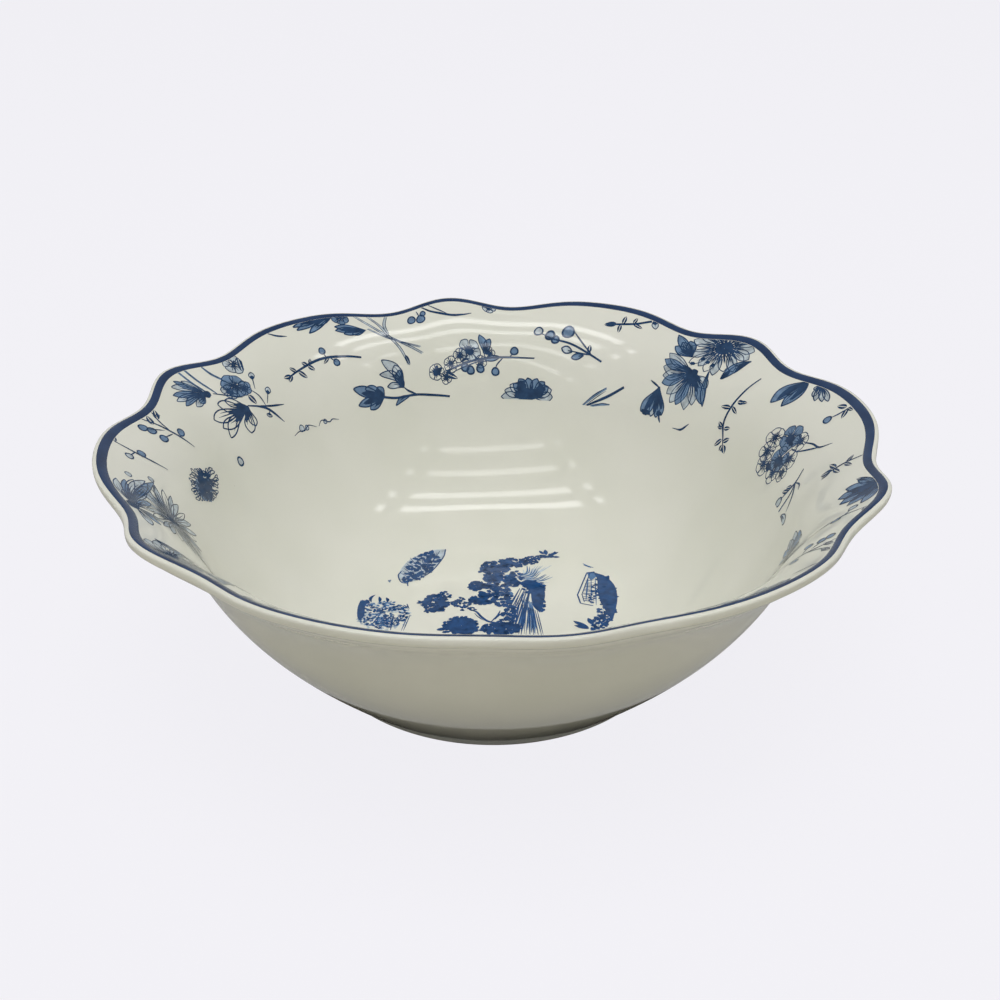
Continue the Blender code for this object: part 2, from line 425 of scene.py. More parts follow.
MM_PER_DEGREE = 1.885         # along the border, at its middle
BORDER_DEPTH = 37.5           # how far down the wall the border runs from the lip, in millimetres
LIFTS = {"pale": 0.03, "mid": 0.042, "line": 0.055}   # of each tone of ink above the glaze, in mm
SMALLEST_FACE = 2e-10         # a face whose diagonals' cross product is under this is left out
LIFT_STEP = 0.0015            # between overlapping shapes of one tone
LIFT_LAYERS = 6               # how many such steps there are before they start again
LIP_POINTS = 20               # along the lip's top, on the line that the prints follow
NORMAL_STEP = 0.0004          # between the points that the glaze's normal is read from
RANDOM = random.Random(7)


def inner_line():
    """The inner surface from the axis over the lip: (distance along it, radius, height) arrays."""
    points = np.array(well_floor(40) + inner_wall(80) + lip_top(LIP_POINTS))
    steps = np.linalg.norm(np.diff(points, axis=0), axis=1)
    return np.concatenate([[0.0], np.cumsum(steps)]), points[:, 0], points[:, 1]


INNER_LINE = inner_line()
LIP_END = INNER_LINE[0][-1]
LIP_START = INNER_LINE[0][-LIP_POINTS - 1]
BORDER_END = LIP_START - BORDER_DEPTH * MM


def on_glaze(distance, angle):
    """Points of the inner surface at these distances from the axis, along it, and angles."""
    along_line, radii, heights = INNER_LINE
    radius = np.interp(distance, along_line, radii)
    height = np.interp(distance, along_line, heights)
    return scalloped(radius, height, angle)


def lifted(distance, angle, lift):
    """The same points raised off the glaze, with the glaze's normal there."""
    step = NORMAL_STEP
    here = on_glaze(distance, angle)
    outwards = on_glaze(distance + step, angle) - on_glaze(distance - step, angle)
    turn = step / np.maximum(distance, step)
    round_ = on_glaze(distance, angle + turn) - on_glaze(distance, angle - turn)
    normal = np.cross(outwards, round_)
    normal /= np.linalg.norm(normal, axis=1)[:, None]
    return here + normal * (lift * MM)[:, None], normal


def on_border(page, lift):
    """Border page: x is minus the angle times MM_PER_DEGREE, y the depth from the line."""
    angle = np.radians(-page[:, 0] / MM_PER_DEGREE)
    top = LIP_START + line_reach(angle)[0] * (LIP_END - LIP_START)
    share = np.clip(page[:, 1] / BORDER_DEPTH, 0.0, 1.0)
    return lifted(top + share * (BORDER_END - top), angle, lift)


def on_floor(page, lift):
    """Centre page: millimetres from the axis, x to the camera's right and y away from it."""
    radius = np.hypot(page[:, 0], page[:, 1]) * MM
    distance = np.interp(radius, INNER_LINE[1], INNER_LINE[0])
    angle = np.arctan2(page[:, 1], page[:, 0]) - math.radians(CAMERA_HEADING)
    return lifted(distance, angle, lift)


def print_piece(name, grids, tone, page_to_glaze, material):
    """One sheet of ink made of grids of page points, laid on the glaze with its faces up."""
    page = np.concatenate([grid.reshape(-1, 2) for grid in grids])
    lift = np.concatenate([
        np.full(grid.size // 2, LIFTS[tone] + LIFT_STEP * (number % LIFT_LAYERS))
        for number, grid in enumerate(grids)])
    points, normals = page_to_glaze(page, lift)
    corners = []
    start = 0
    for grid in grids:
        rows, columns = grid.shape[:2]
        index = start + np.arange(rows * columns).reshape(rows, columns)
        corners.append(np.stack(
            [index[:-1, :-1], index[1:, :-1], index[1:, 1:], index[:-1, 1:]], -1).reshape(-1, 4))
        start += rows * columns
    corners = np.concatenate(corners)
    a, b, c, d = (points[corners[:, number]] for number in range(4))
    across = np.cross(c - a, d - b)
    solid = np.linalg.norm(across, axis=1) > SMALLEST_FACE
    down = (across * normals[corners[:, 0]]).sum(1) < 0
    corners[down] = corners[down][:, ::-1]
    corners = corners[solid]
    used, corners = np.unique(corners, return_inverse=True)
    return add_piece(
        name, points[used], corners.reshape(-1, 4).tolist(), material)


# ---------------------------------------------------------------- pen and brush

def at(angle, depth):
    """A place on the border, from its angle in degrees and its depth in millimetres."""
    return np.array([-angle * MM_PER_DEGREE, depth])


def smooth(points, step=0.6):
    """A Catmull-Rom curve through the points, about `step` millimetres between its own."""
    points = np.array(points, float)
    padded = np.concatenate([[2 * points[0] - points[1]], points, [2 * points[-1] - points[-2]]])
    pieces = []
    for a, b, c, d in zip(padded, padded[1:], padded[2:], padded[3:]):
        count = max(2, math.ceil(np.linalg.norm(c - b) / step))
        t = (np.arange(count) / count)[:, None]
        pieces.append(0.5 * (
            2 * b + (c - a) * t + (2 * a - 5 * b + 4 * c - d) * t ** 2
            + (3 * b - a - 3 * c + d) * t ** 3))
    return np.concatenate(pieces + [points[-1:]])


def sideways(path):
    run = np.gradient(path, axis=0)
    run /= np.maximum(np.linalg.norm(run, axis=1), 1e-9)[:, None]
    return np.stack([-run[:, 1], run[:, 0]], 1)


class Page:
    """Shapes of ink on a flat page in millimetres, as grids of points for each tone."""

    def __init__(self, shift=0.0):
        self.grids = {tone: [] for tone in LIFTS}
        self.shift = shift

    def add(self, tone, *columns):
        grid = np.stack(columns, 1)
        grid[:, :, 0] += self.shift
        self.grids[tone].append(grid)

    def stroke(self, points, width, ends=(0.5, 0.3), tone="line"):
        """A pen stroke whose width falls to these shares of itself at its ends."""
        path = smooth(points)
        t = np.linspace(0.0, 1.0, len(path))
        half = 0.5 * width * np.interp(t, [0.0, 0.4, 0.7, 1.0], [ends[0], 1.0, 1.0, ends[1]])
        side = sideways(path) * half[:, None]
        self.add(tone, path - side, path + side)

    def blob(self, centre, radii, tone="line", rough=0.12):
        """A filled patch with an uneven edge."""
        count = 18
        angles = 2 * math.pi * np.arange(count + 1) / count
        reach = np.array([1.0 + RANDOM.uniform(-rough, rough) for _ in range(count)])
        reach = np.append(reach, reach[0])
        edge = np.stack([radii[0] * np.cos(angles) * reach, radii[1] * np.sin(angles) * reach], 1)
        centre = np.array(centre, float)
        self.add(tone, *(centre + share * edge for share in (0.02, 0.4, 0.7, 1.0)))

    def ring(self, centre, radius, width=0.45, fill="pale"):
        if fill:
            self.blob(centre, (radius, radius), fill, 0.04)
        turns = np.radians(np.arange(0, 361, 30) + RANDOM.uniform(0, 90))
        wobble = 1.0 + 0.05 * np.sin(3 * turns)
        circle = [
            (centre[0] + radius * w * math.cos(a), centre[1] + radius * w * math.sin(a))
            for a, w in zip(turns, wobble)]
        self.stroke(circle, width, (1.0, 1.0))

    def petal(self, base, tip, width, tone="pale", broad=0.6, bow=0.0, veins=2, edge=0.34):
        """A petal or leaf: a wash, an outline and a few veins. `broad` is where it is widest."""
        base, tip = np.array(base, float), np.array(tip, float)
        run = tip - base
        length = np.linalg.norm(run)
        side = np.array([-run[1], run[0]]) / length
        t = np.linspace(0.0, 1.0, max(8, math.ceil(length / 0.9)))
        power = math.log(0.5) / math.log(broad)
        half = 0.5 * width * np.sin(math.pi * t ** power).clip(0.0) ** 0.8
        middle = base + t[:, None] * run + (bow * length * np.sin(math.pi * t))[:, None] * side
        left, right = middle + half[:, None] * side, middle - half[:, None] * side
        if tone:
            self.add(tone, left, 0.5 * (left + middle), middle, 0.5 * (middle + right), right)
        if edge:
            for path in (left, right):
                self.stroke(path[:: max(1, len(path) // 7)].tolist() + [path[-1]], edge, (1.0, 1.0))
        for vein in range(veins):
            place = 2.0 * (vein + 1) / (veins + 1) - 1.0
            first, last = len(t) // 6, len(t) - 2 - RANDOM.randrange(max(1, len(t) // 3))
            path = (middle + place * half[:, None] * side)[first:max(last, first + 4)]
            self.stroke(path[::2], 0.8 * edge, (1.0, 0.2))

    def dark(self, base, tip, width, broad=0.5, bow=0.0):
        """A dark petal or leaf with no veins and a hair-thin outline."""
        self.petal(base, tip, width, "line", broad, bow, 0, 0.1)

    def leaf(self, base, tip, width):
        """A small dark leaf with its midrib left bare."""
        base, tip = np.array(base, float), np.array(tip, float)
        run = tip - base
        side = np.array([-run[1], run[0]]) / np.linalg.norm(run)
        t = np.linspace(0.0, 1.0, 9)
        half = 0.5 * width * np.sin(math.pi * t ** 0.8).clip(0.0) ** 0.7
        rib = np.minimum(0.08 * width, half)
        middle = base + t[:, None] * run
        for way in (-1, 1):
            inner, outer = (middle + way * reach[:, None] * side for reach in (rib, half))
            self.add("line", inner, outer)

    def leaves(self, places):
        """Leaves on the border, each given as (its tip, where it joins its stem, its width)."""
        for tip, join, width in places:
            self.leaf(at(*join), at(*tip), width)

    def bud(self, base, tip, width):
        """A closed bud in a dark cup."""
        base, tip = np.array(base, float), np.array(tip, float)
        self.petal(base, tip, width, "pale", 0.55, 0.0, 1, 0.36)
        self.dark(base, base + 0.55 * (tip - base), 0.75 * width)

    def blossom(self, centre, radius, petals=5, turn=0.0, tone="mid"):
        """A small open flower, seen from above, with a dark eye."""
        centre = np.array(centre, float)
        for number in range(petals):
            angle = math.radians(turn + 360.0 * number / petals + RANDOM.uniform(-6, 6))
            way = np.array([math.cos(angle), math.sin(angle)])
            reach = radius * RANDOM.uniform(0.9, 1.1)
            base, tip = centre + 0.15 * radius * way, centre + reach * way
            self.petal(base, tip, 0.95 * radius, tone, 0.66, 0.0, 2)
        self.blob(centre, (0.26 * radius, 0.26 * radius), "line", 0.25)
        for number in range(9):
            angle = math.radians(40.0 * number + RANDOM.uniform(-9, 9))
            way = np.array([math.cos(angle), math.sin(angle)])
            reach = radius * RANDOM.uniform(0.42, 0.6)
            self.stroke([centre + 0.2 * radius * way, centre + reach * way], 0.3, (1.0, 0.3))

    def daisy(self, centre, disc, tips, width=2.6, tones=("pale", "mid"), veins=2):
        """A daisy with one long petal for each of its tips."""
        centre = np.array(centre, float)
        for number, tip in enumerate(tips):
            run = np.array(tip, float) - centre
            length = np.linalg.norm(run)
            base = centre + run * min(0.8 * disc / length, 0.5)
            tone = tones[number % len(tones)]
            bow = RANDOM.uniform(-0.04, 0.04)
            self.petal(base, tip, width * RANDOM.uniform(0.85, 1.1), tone, 0.62, bow, veins)
            self.stroke([base, base + 0.42 * run], 0.55, (1.0, 0.1))
        self.blob(centre, (disc, 0.9 * disc), "line", 0.1)

    def fan(self, centre, rx, ry, start, end, count):
        """Petal tips round an ellipse, for a daisy, from one angle in degrees to another."""
        turns = np.radians(np.linspace(start, end, count))
        reach = [RANDOM.uniform(0.88, 1.05) for _ in turns]
        return [
            (centre[0] + rx * share * math.cos(a), centre[1] + ry * share * math.sin(a))
            for a, share in zip(turns, reach)]

    def foliage(self, centre, radii, count, size=1.5, tone="line", turn=0.0):
        """A clump of small leaves scattered over an ellipse."""
        spin = math.radians(turn)
        for _ in range(count):
            angle, reach = RANDOM.uniform(0, 2 * math.pi), math.sqrt(RANDOM.random())
            x, y = radii[0] * reach * math.cos(angle), radii[1] * reach * math.sin(angle)
            spot = np.array([
                centre[0] + x * math.cos(spin) - y * math.sin(spin),
                centre[1] + x * math.sin(spin) + y * math.cos(spin)])
            way = RANDOM.uniform(0, 2 * math.pi)
            half = 0.6 * size * RANDOM.uniform(0.7, 1.3) * np.array([math.cos(way), math.sin(way)])
            self.petal(spot - half, spot + half, 0.8 * size, tone, 0.5, 0.0, 0, 0)

    def sheet(self, one, two, tone="line"):
        """A filled shape between two edges."""
        shares = np.linspace(0.0, 1.0, 30)
        edges = []
        for edge in (one, two):
            path = smooth(edge, 0.8)
            run = np.concatenate([[0.0], np.cumsum(np.linalg.norm(np.diff(path, axis=0), axis=1))])
            spots = [np.interp(shares * run[-1], run, path[:, axis]) for axis in (0, 1)]
            edges.append(np.stack(spots, 1))
        across = np.linspace(0, 1, 6)
        self.add(tone, *(edges[0] + share * (edges[1] - edges[0]) for share in across))

    def hatch(self, first, last, count, width=0.4, bow=0.0, tone="line", loose=0.5):
        """Pen strokes spread from a first one to a last one, each given as (start, end)."""
        first, last = np.array(first, float), np.array(last, float)
        for number in range(count):
            line = first + (last - first) * number / max(count - 1, 1)
            line = line + np.array([[RANDOM.uniform(-loose, loose) for _ in "xy"] for _ in "ab"])
            run = line[1] - line[0]
            middle = line.mean(0) + bow * np.array([-run[1], run[0]])
            breadth = width * RANDOM.uniform(0.7, 1.2)
            self.stroke([line[0], middle, line[1]], breadth, (0.6, 0.3), tone)


# ---------------------------------------------------------------- the border's flowers

def left_daisy(p):
    centre = at(190.5, 21)
    p.daisy(centre, 3.2, p.fan(centre, 20, 14.5, -25, 335, 27), 2.5, ("pale", None, "pale"), 1)
    upper = at(195, 2)
    tips = [at(*spot) for spot in (
        (187, 2), (186, 5), (184.5, 8), (182.5, 12), (181, 15), (184, 13), (187, 12), (190, 12),
        (193, 11), (197, 12), (199, 9), (190, 3), (201, 5))]
    p.daisy(upper, 2.4, tips, 2.9, ("pale", "mid", None), 2)
    for angle, depth in ((183.5, 6.5), (180.5, 14)):
        p.ring(at(angle, depth), 1.1, 0.3)


def left_twigs(p):
    p.stroke([at(175.5, 0), at(175.4, 7), at(174.7, 12), at(173.3, 18)], 0.75)
    p.ring(at(177.4, 6), 1.3)
    p.ring(at(174.6, 8.8), 1.4, fill="mid")
    p.stroke([at(177, 6.2), at(175.3, 7)], 0.5)
    p.leaf(at(175.5, 0.5), at(174, -1), 1.6)
    p.stroke([at(165.5, 0), at(164.3, 5), at(163.4, 10), at(161.4, 19.5)], 0.75)
    p.stroke([at(162.4, 0), at(163.3, 5), at(163.5, 10)], 0.55)
    p.stroke([at(166.8, 4.5), at(164.4, 8)], 0.5)
    p.stroke([at(166, 10), at(163.6, 10.8)], 0.5)
    for angle, depth in ((167.4, 3), (166.7, 5.6), (166.4, 10.2), (161.6, 12.4)):
        p.ring(at(angle, depth), 1.5, 0.55, "mid")
    p.leaf(at(165, 4), at(164, 0), 2.2)
    p.leaf(at(163, 3.5), at(161.4, 0), 2.4)
    p.leaf(at(162.5, 2), at(161.6, 3), 1.4)


def pompon(p):
    """A shaggy flower head: a dark heart and many short curled petals."""
    centre = at(166.4, 31)
    for number in range(34):
        angle = math.radians(360.0 * number / 34)
        corner = 1.0 + 0.16 * math.cos(2 * angle - 1.0) + 0.1 * math.cos(4 * angle)
        way = np.array([9.4 * math.cos(angle), 6.6 * math.sin(angle)]) * corner
        tip = centre + way * RANDOM.uniform(0.9, 1.1)
        bow = RANDOM.uniform(-0.2, 0.2)
        p.petal(centre + 0.55 * way, tip, 1.3, None, 0.7, bow, 0, 0.42)
    p.foliage(centre, (6.8, 4.8), 26, 2.4, "mid", -20)
    p.foliage(centre, (6.6, 4.6), 60, 1.9, "line", -20)
    p.blob(centre, (3.6, 2.8), "line", 0.3)
    p.blob(centre + np.array([1.6, 1.2]), (2.6, 2.2), "line", 0.3)


def left_bouquet(p):
    tips = [at(*spot) for spot in (
        (155, 6), (154.2, 9.5), (152, 12.5), (154.4, 4), (152.8, 2.2), (151.2, 1.5), (149.8, 3),
        (150.5, 12.5))]
    p.daisy(at(147.6, 11), 1.6, tips, 2.6, ("pale", "mid"), 2)
    for start in (148.6, 147.2):
        p.stroke([at(start, 0), at(start - 0.4, 6), at(start - 1.6, 12)], 0.9, (1.0, 0.5), "mid")
        p.stroke([at(start, 0), at(start - 0.4, 6), at(start - 1.6, 12)], 0.35)
    p.stroke([at(146.4, 11.5), at(144, 13.5), at(141, 16)], 0.6)
    p.stroke([at(143.8, 0), at(143.3, 4), at(142, 8)], 1.1, (0.6, 1.0), "mid")
    p.stroke([at(143.8, 0), at(143.3, 4), at(142, 8)], 0.4)
    p.blossom(at(141, 11), 5.0, 6, 20, "mid")
    p.blossom(at(142.8, 12.6), 3.0, 5, 0, "pale")
    p.blossom(at(139.2, 13), 3.0, 5, 50, "mid")
    p.blossom(at(137.6, 2.6), 4.4, 5, 10, "pale")
    p.leaf(at(137, 7), at(135.6, 1), 2.2)
    for spot, join in (((135.8, 10), (137, 15)), ((134.2, 18), (136, 22)),
            ((136.9, 26.3), (136, 24))):
        p.stroke([at(*join), at(*spot)], 0.45)
        p.bud(at(*join) * 0.3 + at(*spot) * 0.7, at(*spot) + (at(*spot) - at(*join)) * 0.25, 2.6)
    base = at(141, 20)
    for tip, width in (
            ((147.2, 15.6), 4.6), ((150.6, 19.3), 4.8), ((149.8, 23.2), 4.0), ((149.4, 27.2), 4.2),
            ((143.6, 29.2), 4.6), ((141.6, 27.6), 3.6), ((145.2, 15.2), 3.4)):
        p.petal(base, at(*tip), width, None, 0.7, RANDOM.uniform(-0.08, 0.08), 3, 0.5)
    for tip in ((146.5, 20), (146, 23.5), (143.5, 25), (144, 17.5)):
        p.dark(base, at(*tip), 1.8)
    p.stroke([at(141, 19.6), at(138.4, 21.6), at(136.2, 24.6), at(133.8, 31)], 1.0)
    p.stroke([at(138, 21.6), at(135.6, 23.4), at(132, 25.4)], 0.8)
    p.stroke([at(138.4, 14), at(137, 18), at(136.6, 23)], 0.5)
    p.leaf(at(139.4, 16), at(138.6, 20.4), 2.4)


def scribble_twig(p):
    p.stroke([at(132.6, 37.3), at(131, 36.6), at(129.4, 37), at(128, 35.8), at(126, 37.4)], 0.45)
    p.stroke([at(125.4, 37.4), at(124.2, 35.8), at(122.4, 37.2), at(121.4, 36.6), at(119.8, 37.4)],
            0.45)
    p.ring(at(130, 35.9), 1.2, 0.35)
    p.ring(at(128.6, 36.4), 0.9, 0.35)
    p.ring(at(123.4, 36.6), 0.8, 0.35)


def leaf_twig(p):
    p.stroke([at(128, 18), at(124.5, 16.8), at(119, 15.4), at(114, 16.2), at(110.3, 17.4)], 0.95,
            (0.6, 0.8))
    p.leaves((
            ((129, 17.2), (127, 17.8), 1.8), ((128.2, 19.4), (126.8, 17.6), 1.8),
            ((126.6, 14.8), (125.4, 17.2), 1.6), ((123.6, 20.4), (125, 17.2), 1.9),
            ((123.4, 14.6), (122.4, 16.4), 1.8), ((121.2, 18.6), (122.4, 16.4), 1.8),
            ((121.2, 14.2), (121.8, 16.2), 1.4), ((118.8, 17.4), (117.2, 15.6), 1.2)))
    p.stroke([at(118, 13.6), at(117.6, 15.4)], 0.45)
    p.ring(at(118, 12.7), 1.2, 0.5, "mid")
    p.stroke([at(117, 15.6), at(116, 17.6)], 0.45)
    p.ring(at(115.9, 17.9), 1.2, 0.5, "mid")


def rim_bell(p):
    p.stroke([at(126.4, 0), at(125, 2.2), at(123.2, 3.7)], 0.75)
    for tip, width in (((121, 1), 2.4), ((120.6, 2.6), 2.4), ((118.6, 5), 2.2),
            ((116.4, 2.6), 2.2)):
        p.petal(at(112.6, -0.8), at(*tip), width, "mid", 0.6, 0.0, 2, 0.5)
    p.dark(at(112.6, -0.6), at(119.4, 0.6), 2.0, 0.6)


def crossed_stems(p):
    p.blossom(at(111.4, 0.6), 3.0, 5, 30, "mid")
    for tip, width in (((113.2, 4.2), 2.6), ((113.4, 5.8), 2.4), ((112, 7.6), 2.4),
            ((110.4, 8), 2.0)):
        p.petal(at(107.6, 6.2), at(*tip), width, "mid", 0.6, 0.0, 2, 0.45)
    p.dark(at(107.4, 6.2), at(112.4, 5.8), 2.2, 0.6)
    routes = (
        ([at(108.6, 0), at(106.4, 4), at(103.6, 9), at(100, 14), at(97, 18.6)], 1.2),
        ([at(107, 5.6), at(104.4, 9), at(101, 12.4), at(97.2, 16)], 1.0),
        ([at(106.2, 0), at(104.6, 4), at(103.4, 9), at(101.6, 15), at(100.4, 22)], 1.1),
        ([at(102.8, 0), at(103.6, 4), at(103.4, 8)], 1.1))
    for route, width in routes:
        p.stroke(route, width, (0.8, 0.9), "pale")
        p.stroke([spot + np.array([0.42 * width, 0]) for spot in route], 0.28)
        p.stroke([spot - np.array([0.42 * width, 0]) for spot in route], 0.28)
    p.leaf(at(100.8, 18), at(100.2, 22.4), 1.6)


def rim_bud_sprig(p):
    p.stroke([at(95.4, 0), at(93.4, 3.2), at(90, 5.7), at(87.6, 5.4), at(85.8, 4.2)], 0.95)
    p.stroke([at(94, 0), at(92.4, 2.6), at(90.6, 5)], 0.5)
    p.stroke([at(96.6, 1), at(96.2, 3.4)], 0.45)
    p.ring(at(97.9, 4), 1.5, 0.55, "mid")
    p.ring(at(96, 4.8), 1.6, 0.55, "mid")
    p.ring(at(95.4, 2.8), 1.0, 0.5, "mid")
    p.blossom(at(82.4, 0), 2.6, 5, 0, "pale")


def tulip_sprig(p):
    p.stroke([at(108, 33), at(104.6, 34.2), at(100, 34), at(96, 35), at(91.8, 36.2)], 0.95,
            (1.0, 0.8))
    base = at(107.4, 33)
    for tip, width, tone in (
            ((114.2, 28.4), 4.0, "mid"), ((111.4, 29), 4.6, "mid"), ((108.6, 29.2), 3.6, "mid"),
            ((114, 34.6), 3.2, "mid"), ((111.4, 36.8), 3.2, "mid")):
        p.petal(base, at(*tip), width, tone, 0.6, 0.0, 2, 0.5)
    for tip, width in (((112.6, 30.4), 2.6), ((112.8, 34.2), 2.0), ((109.4, 30.2), 2.6),
            ((110, 35.8), 1.6)):
        p.dark(base, at(*tip), width, 0.55)
    open_base = at(102.4, 30.6)
    for tip, width, bow, tone in (
            ((106.2, 19), 4.6, 0.12, "pale"), ((107.4, 24.6), 3.4, 0.2, "pale"),
            ((103.6, 21.4), 4.4, -0.04, "pale"), ((102.8, 23.6), 3.0, -0.2, "mid"),
            ((106.2, 29.6), 2.4, 0.1, "pale")):
        p.petal(open_base, at(*tip), width, tone, 0.62, bow, 2, 0.45)
    p.dark(open_base, at(103, 26), 2.2)
    p.stroke([open_base, at(101.4, 32.2), at(99.6, 33.8)], 0.8)
    p.petal(at(101.4, 34.2), at(105, 37), 1.8, "mid", 0.5, 0.1, 1, 0.45)


def blossom_branch(p):
    p.stroke([at(92, 27), at(88, 24.6), at(84, 22.4), at(79, 21), at(72.4, 21.5)], 0.9, (0.8, 0.6))
    p.stroke([at(90.6, 27.6), at(86, 24.4), at(82, 21.6)], 0.55)
    p.stroke([at(79.2, 21), at(80.6, 24), at(81, 26)], 0.55)
    p.stroke([at(78, 21), at(77.2, 19.6)], 0.5)
    p.blossom(at(94.4, 26.8), 3.4, 5, 10, None)
    p.blossom(at(92.2, 29.2), 2.6, 5, 40, None)
    p.blossom(at(91, 24.8), 3.0, 5, 70, None)
    p.blossom(at(86.6, 19.6), 4.4, 5, 15, "pale")
    p.blossom(at(88.8, 21.6), 2.8, 5, 45, None)
    p.blossom(at(84.2, 23.4), 2.6, 5, 30, None)
    p.blossom(at(82.4, 19.8), 2.4, 5, 60, None)
    p.petal(at(83.4, 20.6), at(84.4, 13), 3.0, "mid", 0.6, 0.08, 2, 0.45)
    p.petal(at(83, 20.6), at(82.2, 14), 2.6, "mid", 0.6, -0.08, 2, 0.45)
    p.petal(at(80, 21), at(83.4, 22.6), 2.2, "mid", 0.5, 0.0, 1, 0.45)
    for spot in ((86.6, 27), (84.4, 26.2), (81, 27), (76.9, 18.4), (87.8, 26)):
        p.ring(at(*spot), 1.5, 0.65, "mid")
    p.leaf(at(92.6, 27.6), at(89.6, 30), 2.2)
    p.leaf(at(88.6, 24), at(86.4, 23), 2.2)
    for spot in ((94.2, 26.6), (86.8, 19.8)):
        p.blob(at(*spot), (2.0, 1.8), "line", 0.3)


def clipped_flower(p):
    centre = at(72.6, 36.5)
    for tip in ((79.6, 36.6), (78.8, 34.2), (77.6, 32), (67.4, 36), (67.8, 33.4)):
        p.petal(centre, at(*tip), 3.8, "pale", 0.7, 0.0, 2, 0.42)
    for tip in ((75.6, 29.6), (73.6, 29.2), (71.4, 29.4), (69.6, 30.6), (76.8, 31.6), (68.6, 32.4)):
        p.petal(centre, at(*tip), 3.6, "mid", 0.7, 0.0, 2, 0.5)
    p.blob(at(72.8, 35.4), (7.0, 2.3), "line", 0.2)
    p.blob(at(75, 32.6), (2.0, 2.2), "line", 0.25)
    p.blob(at(70.4, 33), (2.0, 1.8), "line", 0.25)


def berry_sprig(p):
    p.stroke([at(71.4, 11.6), at(69, 14), at(65, 15.8), at(61, 18.6), at(57.6, 21)], 0.8,
            (0.6, 0.9))
    p.stroke([at(64.8, 11), at(63, 14.4), at(60.6, 18.4)], 0.65)
    p.stroke([at(65, 18.4), at(62.6, 19), at(60, 19.2)], 0.6)
    p.stroke([at(61.2, 17), at(60.2, 19)], 0.5)
    p.ring(at(72.1, 10.5), 1.6, 0.6, "pale")
    p.ring(at(66, 11.2), 2.2, 0.75, "mid")
    p.ring(at(69.6, 12.6), 1.7, 0.8, "mid")
    p.ring(at(68.4, 14.4), 1.4, 0.7, "mid")
    p.petal(at(64.4, 18.8), at(66.8, 17.6), 2.6, "pale", 0.55, 0.0, 1, 0.55)
    p.petal(at(61.8, 19.6), at(64.4, 21), 2.2, "mid", 0.55, 0.0, 1, 0.55)
    p.leaf(at(60.8, 18.4), at(60.9, 15.4), 1.9)


def rim_leaf_twig(p):
    p.stroke([at(59, 6.4), at(56, 5.4), at(53, 3.6), at(50.2, 0.4)], 0.9, (0.8, 1.0))
    p.leaves((
            ((59.2, 6.8), (56.8, 5.6), 2.2), ((55.5, 1.6), (55.6, 5), 1.7),
            ((55.9, 9), (56, 5.6), 1.7), ((53.2, 1.2), (53.6, 3.8), 1.5),
            ((51.4, 4.8), (53.6, 4), 1.5)))
    p.bud(at(49.8, -0.5), at(48.8, 2.8), 2.6)


def stem_bits(p):
    p.stroke([at(59.8, 37.6), at(57.4, 33.4), at(55, 30)], 1.0, (0.5, 0.8), "mid")
    p.stroke([at(60, 37.5), at(57.5, 33), at(55, 29.8)], 0.4)
    p.stroke([at(59.2, 37.5), at(57, 34), at(55, 31)], 0.35)
    p.stroke([at(59, 37.5), at(55.4, 34), at(53.2, 31.4), at(51, 28.2)], 1.1, (0.6, 0.9))
    p.stroke([at(58, 37.4), at(55.6, 36.2), at(53.4, 35.6)], 0.9, (0.9, 0.5), "mid")
    p.stroke([at(57.6, 37.2), at(55.4, 35.8), at(53.4, 35.5)], 0.4)


def right_bouquet(p):
    low = at(36.4, 15.6)
    tips = [at(*spot) for spot in (
        (43.4, 9.6), (43.8, 12.6), (43.4, 15.6), (42.8, 19), (42.4, 22), (40.4, 25.6), (39, 28.6),
        (37.4, 28.8), (35, 29.8), (33.6, 27.4), (31.4, 26), (32, 20))]
    p.daisy(low, 1.8, tips, 4.4, ("pale", "mid", "pale"), 3)
    for tip in ((42, 3.4), (43.6, 0.8), (43, 6), (40.6, 2)):
        p.petal(at(38.4, 9), at(*tip), 3.6, "mid", 0.62, 0.0, 4, 0.5)
    for tip in ((37.8, 20), (35, 21), (34, 18.6), (39.6, 13), (33.8, 22.4)):
        p.dark(low, at(*tip), 1.7)
    high = at(33.4, 3.8)
    p.daisy(high, 3.3, p.fan(high, 12.6, 11.2, 5, 345, 19), 4.0, ("pale", None), 2)
    p.petal(at(26.4, 4.6), at(30.2, 15.4), 3.4, "mid", 0.6, 0.05, 2, 0.45)
    p.dark(at(26.6, 5.2), at(28, 11.6), 2.0, 0.5, 0.1)
    p.dark(at(29.2, 11.4), at(30, 15.6), 2.0)
    p.petal(at(33.4, 14), at(31, 26.6), 2.0, "mid", 0.6, 0.06, 1, 0.5)
    for angle, depth in ((36, 9.4), (34.8, 10.6), (37.6, 11.8), (33.4, 11.4)):
        p.blob(at(angle, depth), (1.0, 0.7), "line", 0.3)


def bell_flower(p):
    for tip, width, tone in (
            ((45.4, 35), 3.6, "mid"), ((44, 35.8), 3.4, "mid"), ((42.6, 35.8), 3.2, "pale"),
            ((41.2, 35.6), 3.2, "mid"), ((40, 34.2), 2.8, "mid")):
        p.petal(at(42.6, 23.8), at(*tip), width, tone, 0.7, 0.0, 2, 0.5)
    for tip in ((44.6, 34.4), (41.8, 34.6), (40.4, 32), (43.2, 29)):
        p.dark(at(42.6, 23.8), at(*tip), 1.8, 0.66)
    p.blob(at(44.2, 34.8), (2.4, 1.0), "line", 0.2)
    p.blob(at(40.8, 33.8), (1.4, 0.9), "line", 0.2)
    p.stroke([at(42.4, 24.4), at(43.6, 23.4), at(45.2, 22.4)], 0.8)
    p.stroke([at(40.8, 33.4), at(40.4, 35.4), at(39.8, 37)], 0.9)
    p.stroke([at(36.2, 37.5), at(34, 37), at(32.4, 34)], 0.9)


